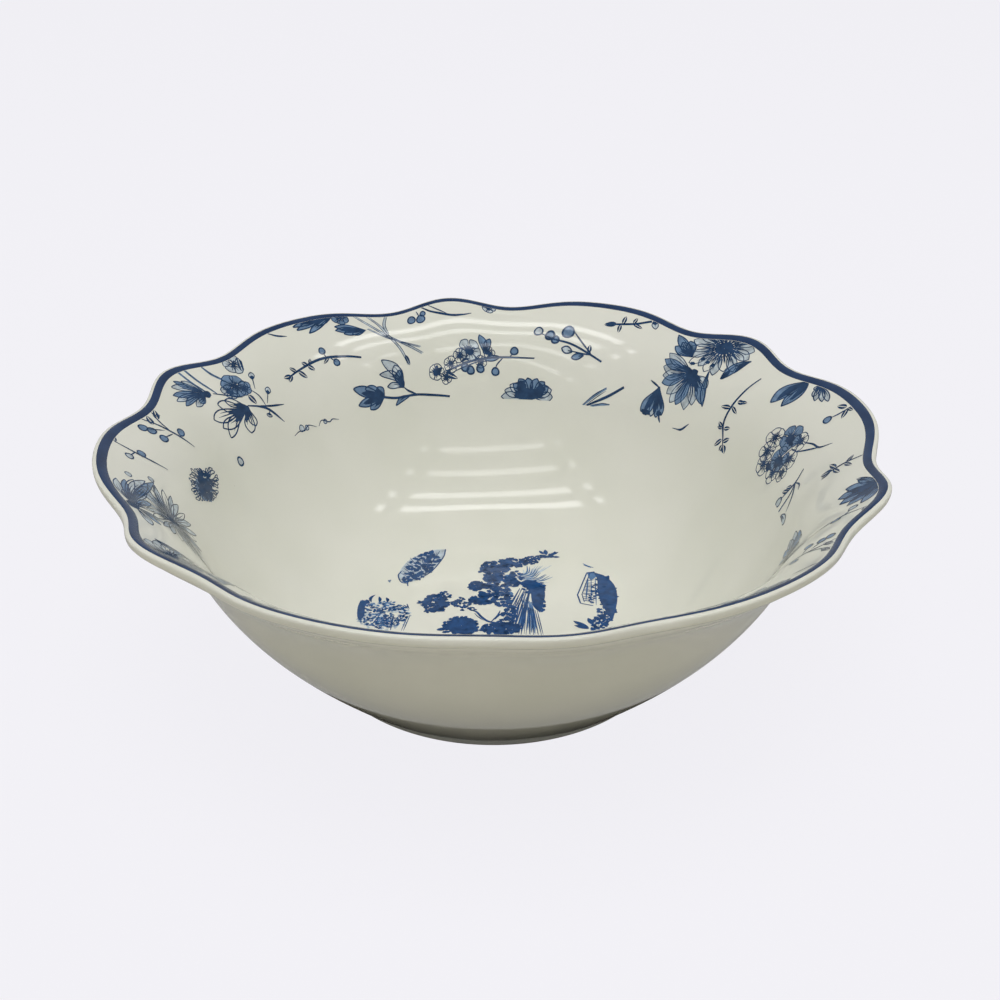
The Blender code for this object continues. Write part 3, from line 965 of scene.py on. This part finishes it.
def upright_twig(p):
    p.stroke([at(21.4, 6.5), at(22.8, 14), at(23.8, 22), at(23.6, 28), at(21.8, 33),
            at(20.2, 37.5)], 0.95)
    p.leaves((
            ((21, 17.6), (22.9, 18.8), 1.9), ((20.4, 16.8), (22, 18.2), 1.4),
            ((21.4, 22.6), (23.6, 21.4), 1.7), ((26.4, 23.6), (23.8, 22), 1.8),
            ((25, 28.6), (23.5, 29.6), 1.8), ((21.2, 28.2), (22.8, 29.8), 1.7),
            ((24.8, 30.4), (23.2, 29.8), 1.4), ((20, 31.6), (21.4, 34), 1.9),
            ((23.4, 37), (22, 33.4), 1.9), ((19.6, 37.5), (20.9, 35), 2.6),
            ((21.2, 38), (21.2, 35), 2.0)))


def rim_tulip(p):
    base = at(12.4, -0.6)
    p.petal(base, at(15.4, 12.4), 5.2, "mid", 0.55, 0.06, 3, 0.55)
    p.petal(base, at(12.6, 12.2), 4.6, "mid", 0.55, -0.05, 3, 0.55)
    p.dark(base, at(14.6, 10.8), 2.8, 0.5, 0.06)
    p.dark(base, at(12, 9), 2.2, 0.5, -0.05)
    for tip in ((7.4, 5.6), (6, 4.6), (5, 3.4), (8.6, 4.6), (9.6, 2)):
        p.petal(at(10, -0.8), at(*tip), 2.0, "pale", 0.65, 0.0, 2, 0.4)
    p.stroke([at(0, 0), at(0.2, 4), at(0.7, 7)], 0.65)
    p.ring(at(0.8, 8), 1.4, 0.55, "mid")
    p.leaf(at(0.6, 1), at(2.4, 2.8), 2.2)
    p.leaf(at(0, 1.4), at(-1.4, 4.6), 1.8)
    p.leaf(at(0.1, 1), at(-1.2, 0.4), 1.4)


def blossom_cluster(p):
    p.stroke([at(0.4, 17.8), at(-2, 16), at(-4.4, 14.8), at(-6.2, 10.6)], 0.7)
    p.stroke([at(0.2, 21.6), at(-2.4, 18), at(-4.4, 14.8)], 0.7)
    for spot, radius, tone in (
            ((8.4, 22.6), 4.2, "pale"), ((8, 28), 4.0, "pale"), ((0.6, 25), 4.2, "pale"),
            ((1.6, 18.6), 3.8, "pale"), ((6.8, 32.2), 4.0, "pale"), ((2.6, 32), 3.8, "pale"),
            ((-0.2, 29.6), 3.0, "pale"), ((4.6, 19.6), 4.8, "mid"), ((3.4, 27.4), 4.8, "mid")):
        p.blossom(at(*spot), radius, 5, RANDOM.uniform(0, 70), tone if tone == "mid" else None)
    for spot, radii in (((4.4, 20.6), (2.4, 1.7)), ((3, 28), (2.6, 1.9)), ((5, 31.6), (2.0, 1.5))):
        p.blob(at(*spot), radii, "line", 0.3)


def bud_sprig(p):
    p.stroke([at(-5.8, 22.5), at(-6.8, 27), at(-6.4, 32), at(-6, 35)], 1.0)
    p.stroke([at(-6.8, 27), at(-8.2, 31), at(-8.5, 37.5)], 0.9, (0.8, 1.0))
    p.stroke([at(-6.8, 27), at(-9.6, 30.4), at(-11.6, 34.4)], 0.8)
    p.stroke([at(-6.8, 27.2), at(-8.6, 26), at(-9.8, 27)], 0.7)
    p.leaf(at(-6.6, 31), at(-4.8, 33), 1.9)
    p.leaf(at(-6.6, 29), at(-5.2, 31), 1.5)
    p.ring(at(-6, 36), 1.7, 0.6, "pale")
    p.petal(at(-10.4, 37), at(-14.4, 36.6), 3.6, "pale", 0.5, 0.0, 2, 0.55)
    p.dark(at(-10.4, 37.2), at(-12.6, 37.4), 2.0)


def right_leaf_twig(p):
    p.stroke([at(-15.8, 0), at(-15.2, 6), at(-14.8, 12), at(-14.3, 16)], 0.8)
    p.leaves((
            ((-14, 3.4), (-15.4, 6), 1.9), ((-17.2, 3.8), (-15.4, 6.6), 1.7),
            ((-12.2, 12.8), (-14.8, 10), 2.0), ((-17.4, 8.4), (-14.9, 11), 1.9),
            ((-13.6, 16.6), (-14.8, 11.6), 2.4), ((-15, 16.4), (-14.8, 12), 1.8)))


def right_edge_flowers(p):
    base = at(-27.4, -0.6)
    for tip, width in (
            ((-23.4, 3.8), 3.4), ((-24.4, 8.6), 4.2), ((-26.2, 12), 4.2), ((-28.4, 11.8), 4.0),
            ((-30.6, 9), 3.8), ((-32, 4), 3.4)):
        p.petal(base, at(*tip), width, "mid", 0.62, 0.0, 3, 0.55)
    for tip in ((-25.6, 9), (-27.4, 10.6), (-29.6, 8.4)):
        p.dark(base, at(*tip), 2.6, 0.55)
    p.leaf(at(-24.6, 1), at(-22.8, 4.2), 2.2)
    tips = [at(*spot) for spot in (
        (-23.4, 30), (-25, 28), (-27.4, 27), (-30, 27.4), (-24.4, 33), (-26.6, 35.4),
        (-29.4, 36.6))]
    p.daisy(at(-33, 32), 1.6, tips, 3.4, ("pale", "mid"), 2)


MIDDLE_SPRIGS = (
    left_bouquet, scribble_twig, leaf_twig, rim_bell, crossed_stems, rim_bud_sprig, tulip_sprig,
    blossom_branch, clipped_flower, berry_sprig, rim_leaf_twig, stem_bits, right_bouquet,
    bell_flower, upright_twig)
SIDE_SPRIGS = (
    left_daisy, left_twigs, pompon, rim_tulip, blossom_cluster, bud_sprig, right_leaf_twig,
    right_edge_flowers)


def border_pages():
    """All sprigs once, and most of them again on the half of the border that the view hides."""
    seen, hidden, join = (Page(turn * MM_PER_DEGREE) for turn in (0.0, 180.0, 210.0))
    for sprig in MIDDLE_SPRIGS + SIDE_SPRIGS:
        sprig(seen)
    seen.ring(at(150.6, 35.4), 1.5, 0.7, "pale")
    for sprig in MIDDLE_SPRIGS[1:-1]:
        sprig(hidden)
    for sprig in (left_twigs, pompon):
        sprig(join)
    return seen, hidden, join


# ---------------------------------------------------------------- the landscape in the centre

def bank(p):
    """A leaning bank of rock with hatched sides."""
    p.sheet([(-33, 23), (-35, 29), (-31.5, 39), (-24, 45.6), (-18, 47)],
            [(-33, 23), (-28.4, 24.6), (-23.4, 30), (-19.6, 39), (-18, 47)], "pale")
    p.foliage((-26.2, 36), (5.0, 9.8), 62, 1.9, turn=-28)
    p.foliage((-23.6, 41), (3.0, 4.4), 22, 1.8, turn=-28)
    p.foliage((-31.6, 25.4), (2.2, 2.0), 16, 1.5)
    p.foliage((-27.6, 27.6), (3.4, 2.0), 18, 1.5, turn=30)
    p.hatch(((-31, 40), (-25, 29)), ((-20, 46), (-24, 34)), 7, 0.4)
    p.hatch(((-34.4, 30), (-31, 26)), ((-32, 38), (-28, 33)), 6, 0.35)
    p.stroke([(-34, 31), (-35, 28), (-33.6, 23.4), (-31, 22.6)], 0.5, (1.0, 1.0))
    p.stroke([(-18.2, 47), (-19, 41), (-23, 31), (-28, 25)], 0.5, (1.0, 1.0))
    p.stroke([(-31.4, 22.4), (-31, 20.6)], 0.5)
    p.foliage((-38, 24), (0.6, 0.8), 3, 0.9, "mid")


def rough_bush(p):
    """Rough grass and shrubs at the left, with a dark edge."""
    p.foliage((-38.4, 1), (9.4, 9.4), 150, 1.2, "pale")
    p.foliage((-38.6, 1.5), (9.0, 8.8), 130, 1.2, "mid")
    p.foliage((-38.8, 1), (8.6, 8.4), 120, 1.1)
    p.sheet([(-47.4, 10.6), (-48, 6), (-47.6, 0), (-46.4, -2.4)],
            [(-44, 11), (-45.4, 7), (-45.2, 1), (-46.4, -2.4)])
    p.foliage((-45.4, 9.4), (1.6, 1.8), 12, 1.2)
    p.hatch(((-41, 1), (-42.4, -5)), ((-30.4, 0), (-31.4, -8)), 12, 0.4, loose=1.6)
    for x, y, lean in ((-42.4, 14.6, 1.0), (-38.4, 12.8, -0.6), (-41, 13.4, -0.4)):
        p.dark((x - lean, 9.6), (x, y), 1.1, 0.5, 0.2 * lean)
    p.hatch(((-33.6, 7), (-30.6, 4)), ((-31, 9), (-29.4, 6)), 4, 0.45)


def shrubs(p):
    """Leafy shrubs between the grass and the tree, and a dark bush in front."""
    p.foliage((-20.6, 9.2), (4.6, 5.6), 95, 1.9)
    p.foliage((-17.4, 14.6), (2.4, 2.6), 22, 1.4)
    p.foliage((-22, 4.8), (2.0, 2.2), 12, 1.4)
    p.foliage((-15.6, 9.2), (1.4, 1.6), 8, 1.2)
    p.dark((-24.8, 9.6), (-27.4, 9.2), 1.1)
    p.dark((-25.6, 9.8), (-27, 10.8), 0.9)
    p.foliage((-11.4, 8.8), (3.4, 2.4), 32, 1.3)
    p.foliage((-11.6, 11.6), (1.3, 1.7), 9, 1.2)
    p.foliage((-9.4, 5.4), (3.2, 1.5), 18, 1.1)
    p.blob((-11, -5.4), (5.2, 5.4), rough=0.08)
    p.foliage((-11.2, -5.4), (6.2, 6.0), 110, 1.6)
    p.dark((-16, -7.2), (-19.6, -8), 1.8)
    p.dark((-15.6, -9), (-17.6, -9.6), 1.4)


def tree(p):
    """The tall tree, its trunk and a bough that hangs over falling water."""
    p.foliage((2, 21), (5, 13), 30, 2.2, "mid", 4)
    for centre, radii, count in (
            ((0.4, 33.6), (5.2, 5.0), 110), ((7, 37.6), (5.0, 3.0), 50),
            ((-3.2, 31.2), (1.9, 1.9), 14),
            ((-0.4, 27), (3.6, 3.6), 45), ((2.6, 22.4), (6.4, 5.0), 95),
            ((-6.2, 20.8), (2.4, 3.2), 42),
            ((-4, 11.4), (4.0, 3.0), 60), ((-7, 10.4), (1.6, 1.6), 12),
            ((3.4, 12.6), (3.2, 6.4), 55),
            ((-2.4, 16.4), (2.6, 2.6), 20), ((8.4, 27), (2.6, 4.6), 26),
            ((5.6, 3), (2.6, 5.0), 26)):
        p.foliage(centre, radii, count, 1.9)
    p.foliage((14.4, 40), (4.8, 1.9), 46, 1.5, turn=22)
    p.foliage((12.4, 36.4), (4.6, 1.1), 22, 1.4, turn=24)
    p.foliage((20.6, 42.2), (2.8, 1.0), 16, 1.4)
    for base, tip, width in (
            ((20, 43), (19.6, 46.6), 1.6), ((21, 43), (24.6, 44.6), 1.4),
            ((22, 41.6), (25, 41.4), 1.2),
            ((19, 43.6), (17.4, 46), 1.2), ((22.4, 42.6), (23.4, 45.2), 1.0)):
        p.dark(base, tip, width)
    p.stroke([(-8.6, 5), (-6, 3.6), (-4, 0), (-1.4, -2.8), (3.4, -4)], 1.0, (0.6, 1.0))
    p.stroke([(-6.6, 2.6), (-5.4, 0.4), (-3.4, -2)], 0.4)
    p.stroke([(-0.8, -2.8), (1.4, 1), (2.4, 4.4)], 0.7)
    p.stroke([(0.6, -1.2), (3, 2.6), (6, 4.4)], 0.5)
    p.foliage((2.6, -7), (6.8, 3.6), 110, 2.0)
    p.foliage((4.6, -2.6), (3.0, 1.8), 22, 1.3)


def falls(p):
    """Strokes of falling water under the hanging bough."""
    p.sheet([(9, 22.8), (12.6, 25), (17, 22.4), (18.6, 16), (17.6, 8), (16.4, 3)],
            [(9, 22.8), (11.8, 19.6), (13.4, 16), (13.6, 12), (14.2, 7), (16.4, 3)])
    p.foliage((14.4, 20), (4.4, 4.4), 60, 1.5)
    p.foliage((16.2, 10), (2.2, 6.6), 46, 1.4, turn=4)
    p.hatch(((8.6, 27), (11, 33)), ((10.6, 25.6), (20.6, 24)), 9, 0.55, -0.22, "pale")
    p.hatch(((9, 27.4), (13, 35)), ((12, 25), (21.4, 27)), 11, 0.5, -0.2, "mid")
    p.hatch(((8.6, 26), (15.6, 35.4)), ((9.4, 28), (22, 35)), 7, 0.6, -0.12, "pale")
    p.hatch(((9.6, 19), (4.4, 4)), ((13.4, 17), (9.6, -11)), 13, 0.45)
    p.hatch(((9.4, 10), (5.6, -10)), ((15, 4), (17, -11.6)), 17, 0.42)
    p.hatch(((10, 14), (9, -6)), ((13.6, 10), (14.6, -11)), 9, 0.5, 0.03, "mid")


def walled_house(p):
    """A low wall and a roof behind dark trees, at the right."""
    p.sheet([(37, 30.4), (41, 27.4), (44, 21), (44.4, 13), (43.2, 5), (41.4, -2.6)],
            [(37, 30.4), (38, 25), (37.6, 17), (38.4, 9), (39.8, 3), (41.4, -2.6)])
    p.foliage((40.6, 17.6), (3.6, 10.6), 90, 1.5, turn=4)
    p.foliage((40, 3.6), (3.2, 6.0), 60, 1.4)
    for start, end, width in (
            ((34.4, 29.6), (30.2, 14.6), 0.5), ((35.8, 30.4), (32, 15.6), 0.4),
            ((30.2, 14.8), (31, 9), 0.55),
            ((31, 9), (35.4, 7.4), 0.5), ((34.4, 29.8), (37.4, 30.4), 0.9),
            ((31.8, 15.4), (32.4, 10), 0.35)):
        p.stroke([start, end], width, (1.0, 1.0))
    p.sheet([(34.6, 29.4), (36.6, 30.2), (38.6, 28)], [(34.6, 29.4), (35.6, 25), (38.6, 28)], "mid")
    p.hatch(((33.4, 24), (36.8, 24.6)), ((31.6, 11.6), (36.4, 9.6)), 12, 0.42)
    p.hatch(((34.4, 27), (33, 10)), ((37.6, 25.6), (36.8, 8)), 3, 0.5, 0.0, "mid")
    p.foliage((35.6, 15), (1.4, 7.0), 26, 1.0, turn=-6)
    p.foliage((36.6, -4.6), (2.9, 6.4), 60, 1.4, turn=-18)
    p.hatch(((37.6, 6), (34.4, -8)), ((41.6, 4), (38.8, -7)), 6, 0.45, 0.0, "pale")
    for base, tip, width in (
            ((33, -6.8), (27.8, -2.4), 1.9), ((33, -7.4), (28, -5.2), 1.7),
            ((34.6, -5), (33, -0.6), 1.9)):
        p.dark(base, tip, width)
    p.stroke([(33.4, 36.4), (35.2, 34.6), (37.2, 33.4)], 0.6, tone="mid")
    p.stroke([(33.6, 35.4), (36.4, 33.4)], 0.4)


def foreground(p):
    """The near shore, which the bowl's front wall hides from most places."""
    p.hatch(((4, -14), (10, -34)), ((14, -13), (20, -32)), 13, 0.45)
    p.hatch(((-2, -36), (26, -34)), ((2, -42), (22, -41)), 7, 0.5, 0.03, "mid")
    p.foliage((-4, -15), (7.0, 3.6), 90, 1.5)
    p.foliage((-27, -22), (9.0, 7.0), 130, 1.5, "mid", 30)
    p.foliage((-27, -23), (8.4, 6.4), 150, 1.5, "line", 30)
    p.foliage((-12, -35), (8.4, 4.0), 120, 1.6, "line", -12)
    p.foliage((30, -22), (5.4, 8.6), 130, 1.6, "line", -30)
    p.foliage((34, -14), (2.6, 4.4), 34, 1.4)
    p.stroke([(-20, -28), (-14, -24), (-8, -26), (-1, -23)], 0.7)
    p.stroke([(-19, -30), (-13, -26.4), (-7, -28), (0, -26)], 0.4)


def centre_pages():
    page = Page()
    for part in (bank, rough_bush, shrubs, tree, falls, walled_house, foreground):
        part(page)
    return (page,)


# ---------------------------------------------------------------- materials

class Nodes:
    """A material's node tree with short calls for the nodes used here."""

    def __init__(self, name):
        self.material = bpy.data.materials.new(name)
        self.material.use_nodes = True
        self.tree = self.material.node_tree
        self.shader = self.tree.nodes["Principled BSDF"]
        place = self.tree.nodes.new("ShaderNodeTexCoord")
        self.place = place.outputs["Object"]

    def link(self, source, target):
        self.tree.links.new(source, target)

    def node(self, kind, inputs=(), **settings):
        node = self.tree.nodes.new(kind)
        for key, value in settings.items():
            setattr(node, key, value)
        for key, value in dict(inputs).items():
            if isinstance(value, bpy.types.NodeSocket):
                self.link(value, node.inputs[key])
            else:
                node.inputs[key].default_value = value
        return node

    def noise(self, size, detail=3.0, roughness=0.5):
        """Noise whose features are about `size` metres across."""
        inputs = {
            "Vector": self.place, "Scale": 1.0 / size, "Detail": detail, "Roughness": roughness}
        return self.node("ShaderNodeTexNoise", inputs).outputs["Fac"]

    def specks(self, spacing, share):
        """1 in round specks, a `spacing` apart and a `share` of it across, and 0 elsewhere."""
        inputs = {"Vector": self.place, "Scale": 1.0 / spacing}
        cells = self.node("ShaderNodeTexVoronoi", inputs).outputs["Distance"]
        return self.ramp(cells, 0.5 * share, 0.35 * share)

    def ramp(self, value, start, end, low=0.0, high=1.0):
        """Maps value from start..end to low..high, held at both ends."""
        inputs = {
            "Value": value, "From Min": start, "From Max": end, "To Min": low, "To Max": high}
        return self.node("ShaderNodeMapRange", inputs).outputs[0]

    def math(self, operation, a, b):
        return self.node("ShaderNodeMath", {0: a, 1: b}, operation=operation).outputs[0]

    def height(self):
        split = self.node("ShaderNodeSeparateXYZ", {0: self.place})
        return split.outputs["Z"]

    def mix(self, share, first, second):
        """A colour between two, each an RGB triple or another node's output."""
        node = self.node("ShaderNodeMix", data_type="RGBA")
        for key, value in ((0, share), (6, first), (7, second)):
            if isinstance(value, bpy.types.NodeSocket):
                self.link(value, node.inputs[key])
            elif isinstance(value, tuple):
                node.inputs[key].default_value = (*value, 1.0)
            else:
                node.inputs[key].default_value = value
        return node.outputs[2]

    def colour(self, value):
        self.link(value, self.shader.inputs["Base Color"])

    def roughness(self, value):
        self.link(value, self.shader.inputs["Roughness"])

    def bump(self, *layers):
        """Each layer is (height, depth in metres), with the heights from 0 to 1."""
        below = None
        for value, depth in layers:
            inputs = {"Height": value, "Distance": depth, "Strength": 1.0}
            if below is not None:
                inputs["Normal"] = below
            below = self.node("ShaderNodeBump", inputs).outputs[0]
        self.link(below, self.shader.inputs["Normal"])


GLAZE_PALE = (0.840, 0.835, 0.745)
GLAZE_DEEP = (0.800, 0.800, 0.700)
PINHOLE_COLOUR = (0.30, 0.25, 0.18)
BARE_PALE = (0.72, 0.66, 0.54)
BARE_DEEP = (0.56, 0.50, 0.40)
SCUFF_COLOUR = (0.33, 0.31, 0.28)
COBALT_DEEP = (0.007, 0.029, 0.090)
COBALT_THIN = (0.020, 0.054, 0.140)
GLAZE_ROUGHNESS = (0.055, 0.095)
GLAZE_IOR = 1.52


def glaze_material():
    m = Nodes("porcelain_glaze")
    tint = m.mix(m.ramp(m.noise(0.045, 2.0), 0.35, 0.65), GLAZE_PALE, GLAZE_DEEP)
    pinholes = m.math("MULTIPLY", m.specks(0.011, 0.035), m.ramp(m.noise(0.03), 0.5, 0.6))
    m.colour(m.mix(m.math("MULTIPLY", pinholes, 0.6), tint, PINHOLE_COLOUR))
    m.roughness(m.ramp(m.noise(0.012, 4.0), 0.3, 0.7, *GLAZE_ROUGHNESS))
    m.bump((m.noise(0.0028, 2.0), 0.000008), (m.noise(0.018, 1.0), 0.00005))
    m.shader.inputs["IOR"].default_value = GLAZE_IOR
    return m.material


def foot_material():
    m = Nodes("biscuit_foot")
    height = m.height()
    edge = m.math("ADD", height, m.math("MULTIPLY", m.noise(0.004), 0.0006))
    glazed = m.ramp(edge, 0.0009, 0.0013)
    grain = m.noise(0.0005, 6.0, 0.7)
    bare = m.mix(m.ramp(grain, 0.3, 0.7), BARE_PALE, BARE_DEEP)
    scuffed = m.mix(m.ramp(m.noise(0.009, 4.0), 0.55, 0.7), bare, SCUFF_COLOUR)
    m.colour(m.mix(glazed, scuffed, m.mix(m.noise(0.045, 2.0), GLAZE_PALE, GLAZE_DEEP)))
    m.roughness(m.ramp(glazed, 0.0, 1.0, 0.75, 0.12))
    m.bump((m.math("MULTIPLY", grain, m.ramp(glazed, 0.0, 1.0, 1.0, 0.05)), 0.00012))
    m.shader.inputs["IOR"].default_value = GLAZE_IOR
    return m.material


def cobalt_material():
    m = Nodes("cobalt_line")
    flow = m.ramp(m.noise(0.010, 4.0), 0.3, 0.7)
    m.colour(m.mix(flow, COBALT_DEEP, COBALT_THIN))
    m.roughness(m.ramp(m.noise(0.006, 3.0), 0.3, 0.7, 0.10, 0.18))
    m.bump((m.noise(0.0022, 3.0), 0.00003))
    m.shader.inputs["IOR"].default_value = GLAZE_IOR
    return m.material


INKS = {
    "border": {
        "line": (0.010, 0.043, 0.112), "mid": (0.140, 0.230, 0.360), "pale": (0.470, 0.530, 0.560)},
    "centre": {
        "line": (0.002, 0.052, 0.180), "mid": (0.060, 0.160, 0.340), "pale": (0.450, 0.520, 0.580)},
}


def ink_material(name, colour):
    """Printed cobalt under the same gloss as the glaze, a little uneven in its strength."""
    m = Nodes(name)
    strong = tuple(0.75 * part for part in colour)
    weak = tuple(1.35 * part + 0.008 for part in colour)
    m.colour(m.mix(m.ramp(m.noise(0.0026, 4.0), 0.30, 0.70), strong, weak))
    m.roughness(m.ramp(m.noise(0.012, 4.0), 0.3, 0.7, *GLAZE_ROUGHNESS))
    m.bump((m.noise(0.0028, 2.0), 0.000008))
    m.shader.inputs["IOR"].default_value = GLAZE_IOR
    return m.material


def cove_material():
    """The pale floor. Most of its brightness is its own, so that the bowl's shadow stays faint."""
    m = Nodes("studio_floor")
    lit = FLOOR_SHARE_LIT
    m.shader.inputs["Roughness"].default_value = 1.0
    m.shader.inputs["Specular IOR Level"].default_value = 0.0
    patchy = m.ramp(m.noise(0.6, 2.0), 0.0, 1.0, lit * 0.99, lit * 1.01)
    scale = m.node("ShaderNodeVectorMath", {0: FLOOR_COLOUR, 3: patchy}, operation="SCALE")
    m.colour(scale.outputs[0])
    m.shader.inputs["Emission Color"].default_value = (*FLOOR_COLOUR, 1.0)
    m.shader.inputs["Emission Strength"].default_value = 1.0 - FLOOR_LIGHT * lit
    return m.material


def round_mesh(name, section, material):
    """A studio surface through rings of these (radius, height) points, closed by its first ring."""
    angles = 2 * math.pi * np.arange(STUDIO_STEPS) / STUDIO_STEPS
    points, faces = [], []
    for radius, height in section:
        points += [(radius * math.cos(a), radius * math.sin(a), height) for a in angles]
    for row in range(len(section) - 1):
        for step in range(STUDIO_STEPS):
            after = (step + 1) % STUDIO_STEPS
            low, high = row * STUDIO_STEPS, (row + 1) * STUDIO_STEPS
            faces.append((low + step, high + step, high + after, low + after))
    faces.append(tuple(range(STUDIO_STEPS)))
    data = bpy.data.meshes.new(name)
    data.from_pydata(points, [], faces)
    data.materials.append(material)
    surface = bpy.data.objects.new(name, data)
    bpy.context.scene.collection.objects.link(surface)
    return surface


def make_cove():
    """A floor that curves up all round, well outside the view."""
    section = [(COVE_RADIUS * step / 12, 0.0) for step in range(1, 13)]
    section += [
        (COVE_RADIUS * (1 + math.sin(turn)), COVE_RADIUS * (1 - math.cos(turn)))
        for turn in np.radians(np.linspace(0.0, 90.0, 17)[1:])
    ]
    cove = round_mesh("studio_floor", section, cove_material())
    cove.data.shade_smooth()
    cove.visible_diffuse = False
    cove.visible_glossy = False
    cove.visible_shadow = False


def make_table():
    """A warm grey disc that lights the bowl's outside, with a painted shadow under the bowl, and a
    small dark one that it reflects as painted shade.

    The camera sees neither: both lie just under the floor.
    """
    m = Nodes("table")
    flat = m.node("ShaderNodeVectorMath", {0: m.place}, operation="LENGTH").outputs["Value"]
    # painted shadow: the table turns dark under the bowl, where the bowl shades it
    m.colour(m.mix(m.ramp(flat, *TABLE_SHADOW_FADE), TABLE_PAINTED_SHADOW, TABLE_COLOUR))
    m.shader.inputs["Roughness"].default_value = 1.0
    table = round_mesh("table", [(TABLE_RADIUS, -TABLE_DROP)], m.material)
    table.visible_camera = False
    table.visible_glossy = False

    # painted shade: a dark disc that darkens the reflections on the bowl's outside near the foot
    m = Nodes("shade")
    m.shader.inputs["Base Color"].default_value = (*SHADE_COLOUR, 1.0)
    m.shader.inputs["Roughness"].default_value = 1.0
    shade = round_mesh("shade", [(SHADE_RADIUS, -TABLE_DROP / 2)], m.material)
    shade.visible_camera = False
    shade.visible_diffuse = False


# ---------------------------------------------------------------- assembly

def make_bowl():
    glaze = glaze_material()
    points, faces = turned(body_section(), STEPS_ROUND, loop=False)
    add_piece("glazed_bowl", points, faces, glaze, ["bowl_body"])
    points, faces = turned(drawn_line(STEPS_ROUND), STEPS_ROUND, loop=True)
    add_piece("cobalt_rim_line", points, faces, cobalt_material(), ["rim_band"])
    points, faces = turned(foot_section(), STEPS_ROUND // 2, loop=True)
    add_piece("foot_ring_fine", points, faces, foot_material(), ["foot_ring"])


def make_prints():
    sheets = {"border": (border_pages(), on_border), "centre": (centre_pages(), on_floor)}
    for place, (pages, page_to_glaze) in sheets.items():
        for tone, colour in INKS[place].items():
            grids = [grid for page in pages for grid in page.grids[tone]]
            ink = ink_material(f"{place}_ink_{tone}", colour)
            print_piece(f"{place}_print_{tone}", grids, tone, page_to_glaze, ink)


make_camera()
bpy.context.scene.view_settings.view_transform = "Standard"
make_sky()
make_softbox()
make_lamps()
make_cove()
make_table()
make_bowl()
make_prints()
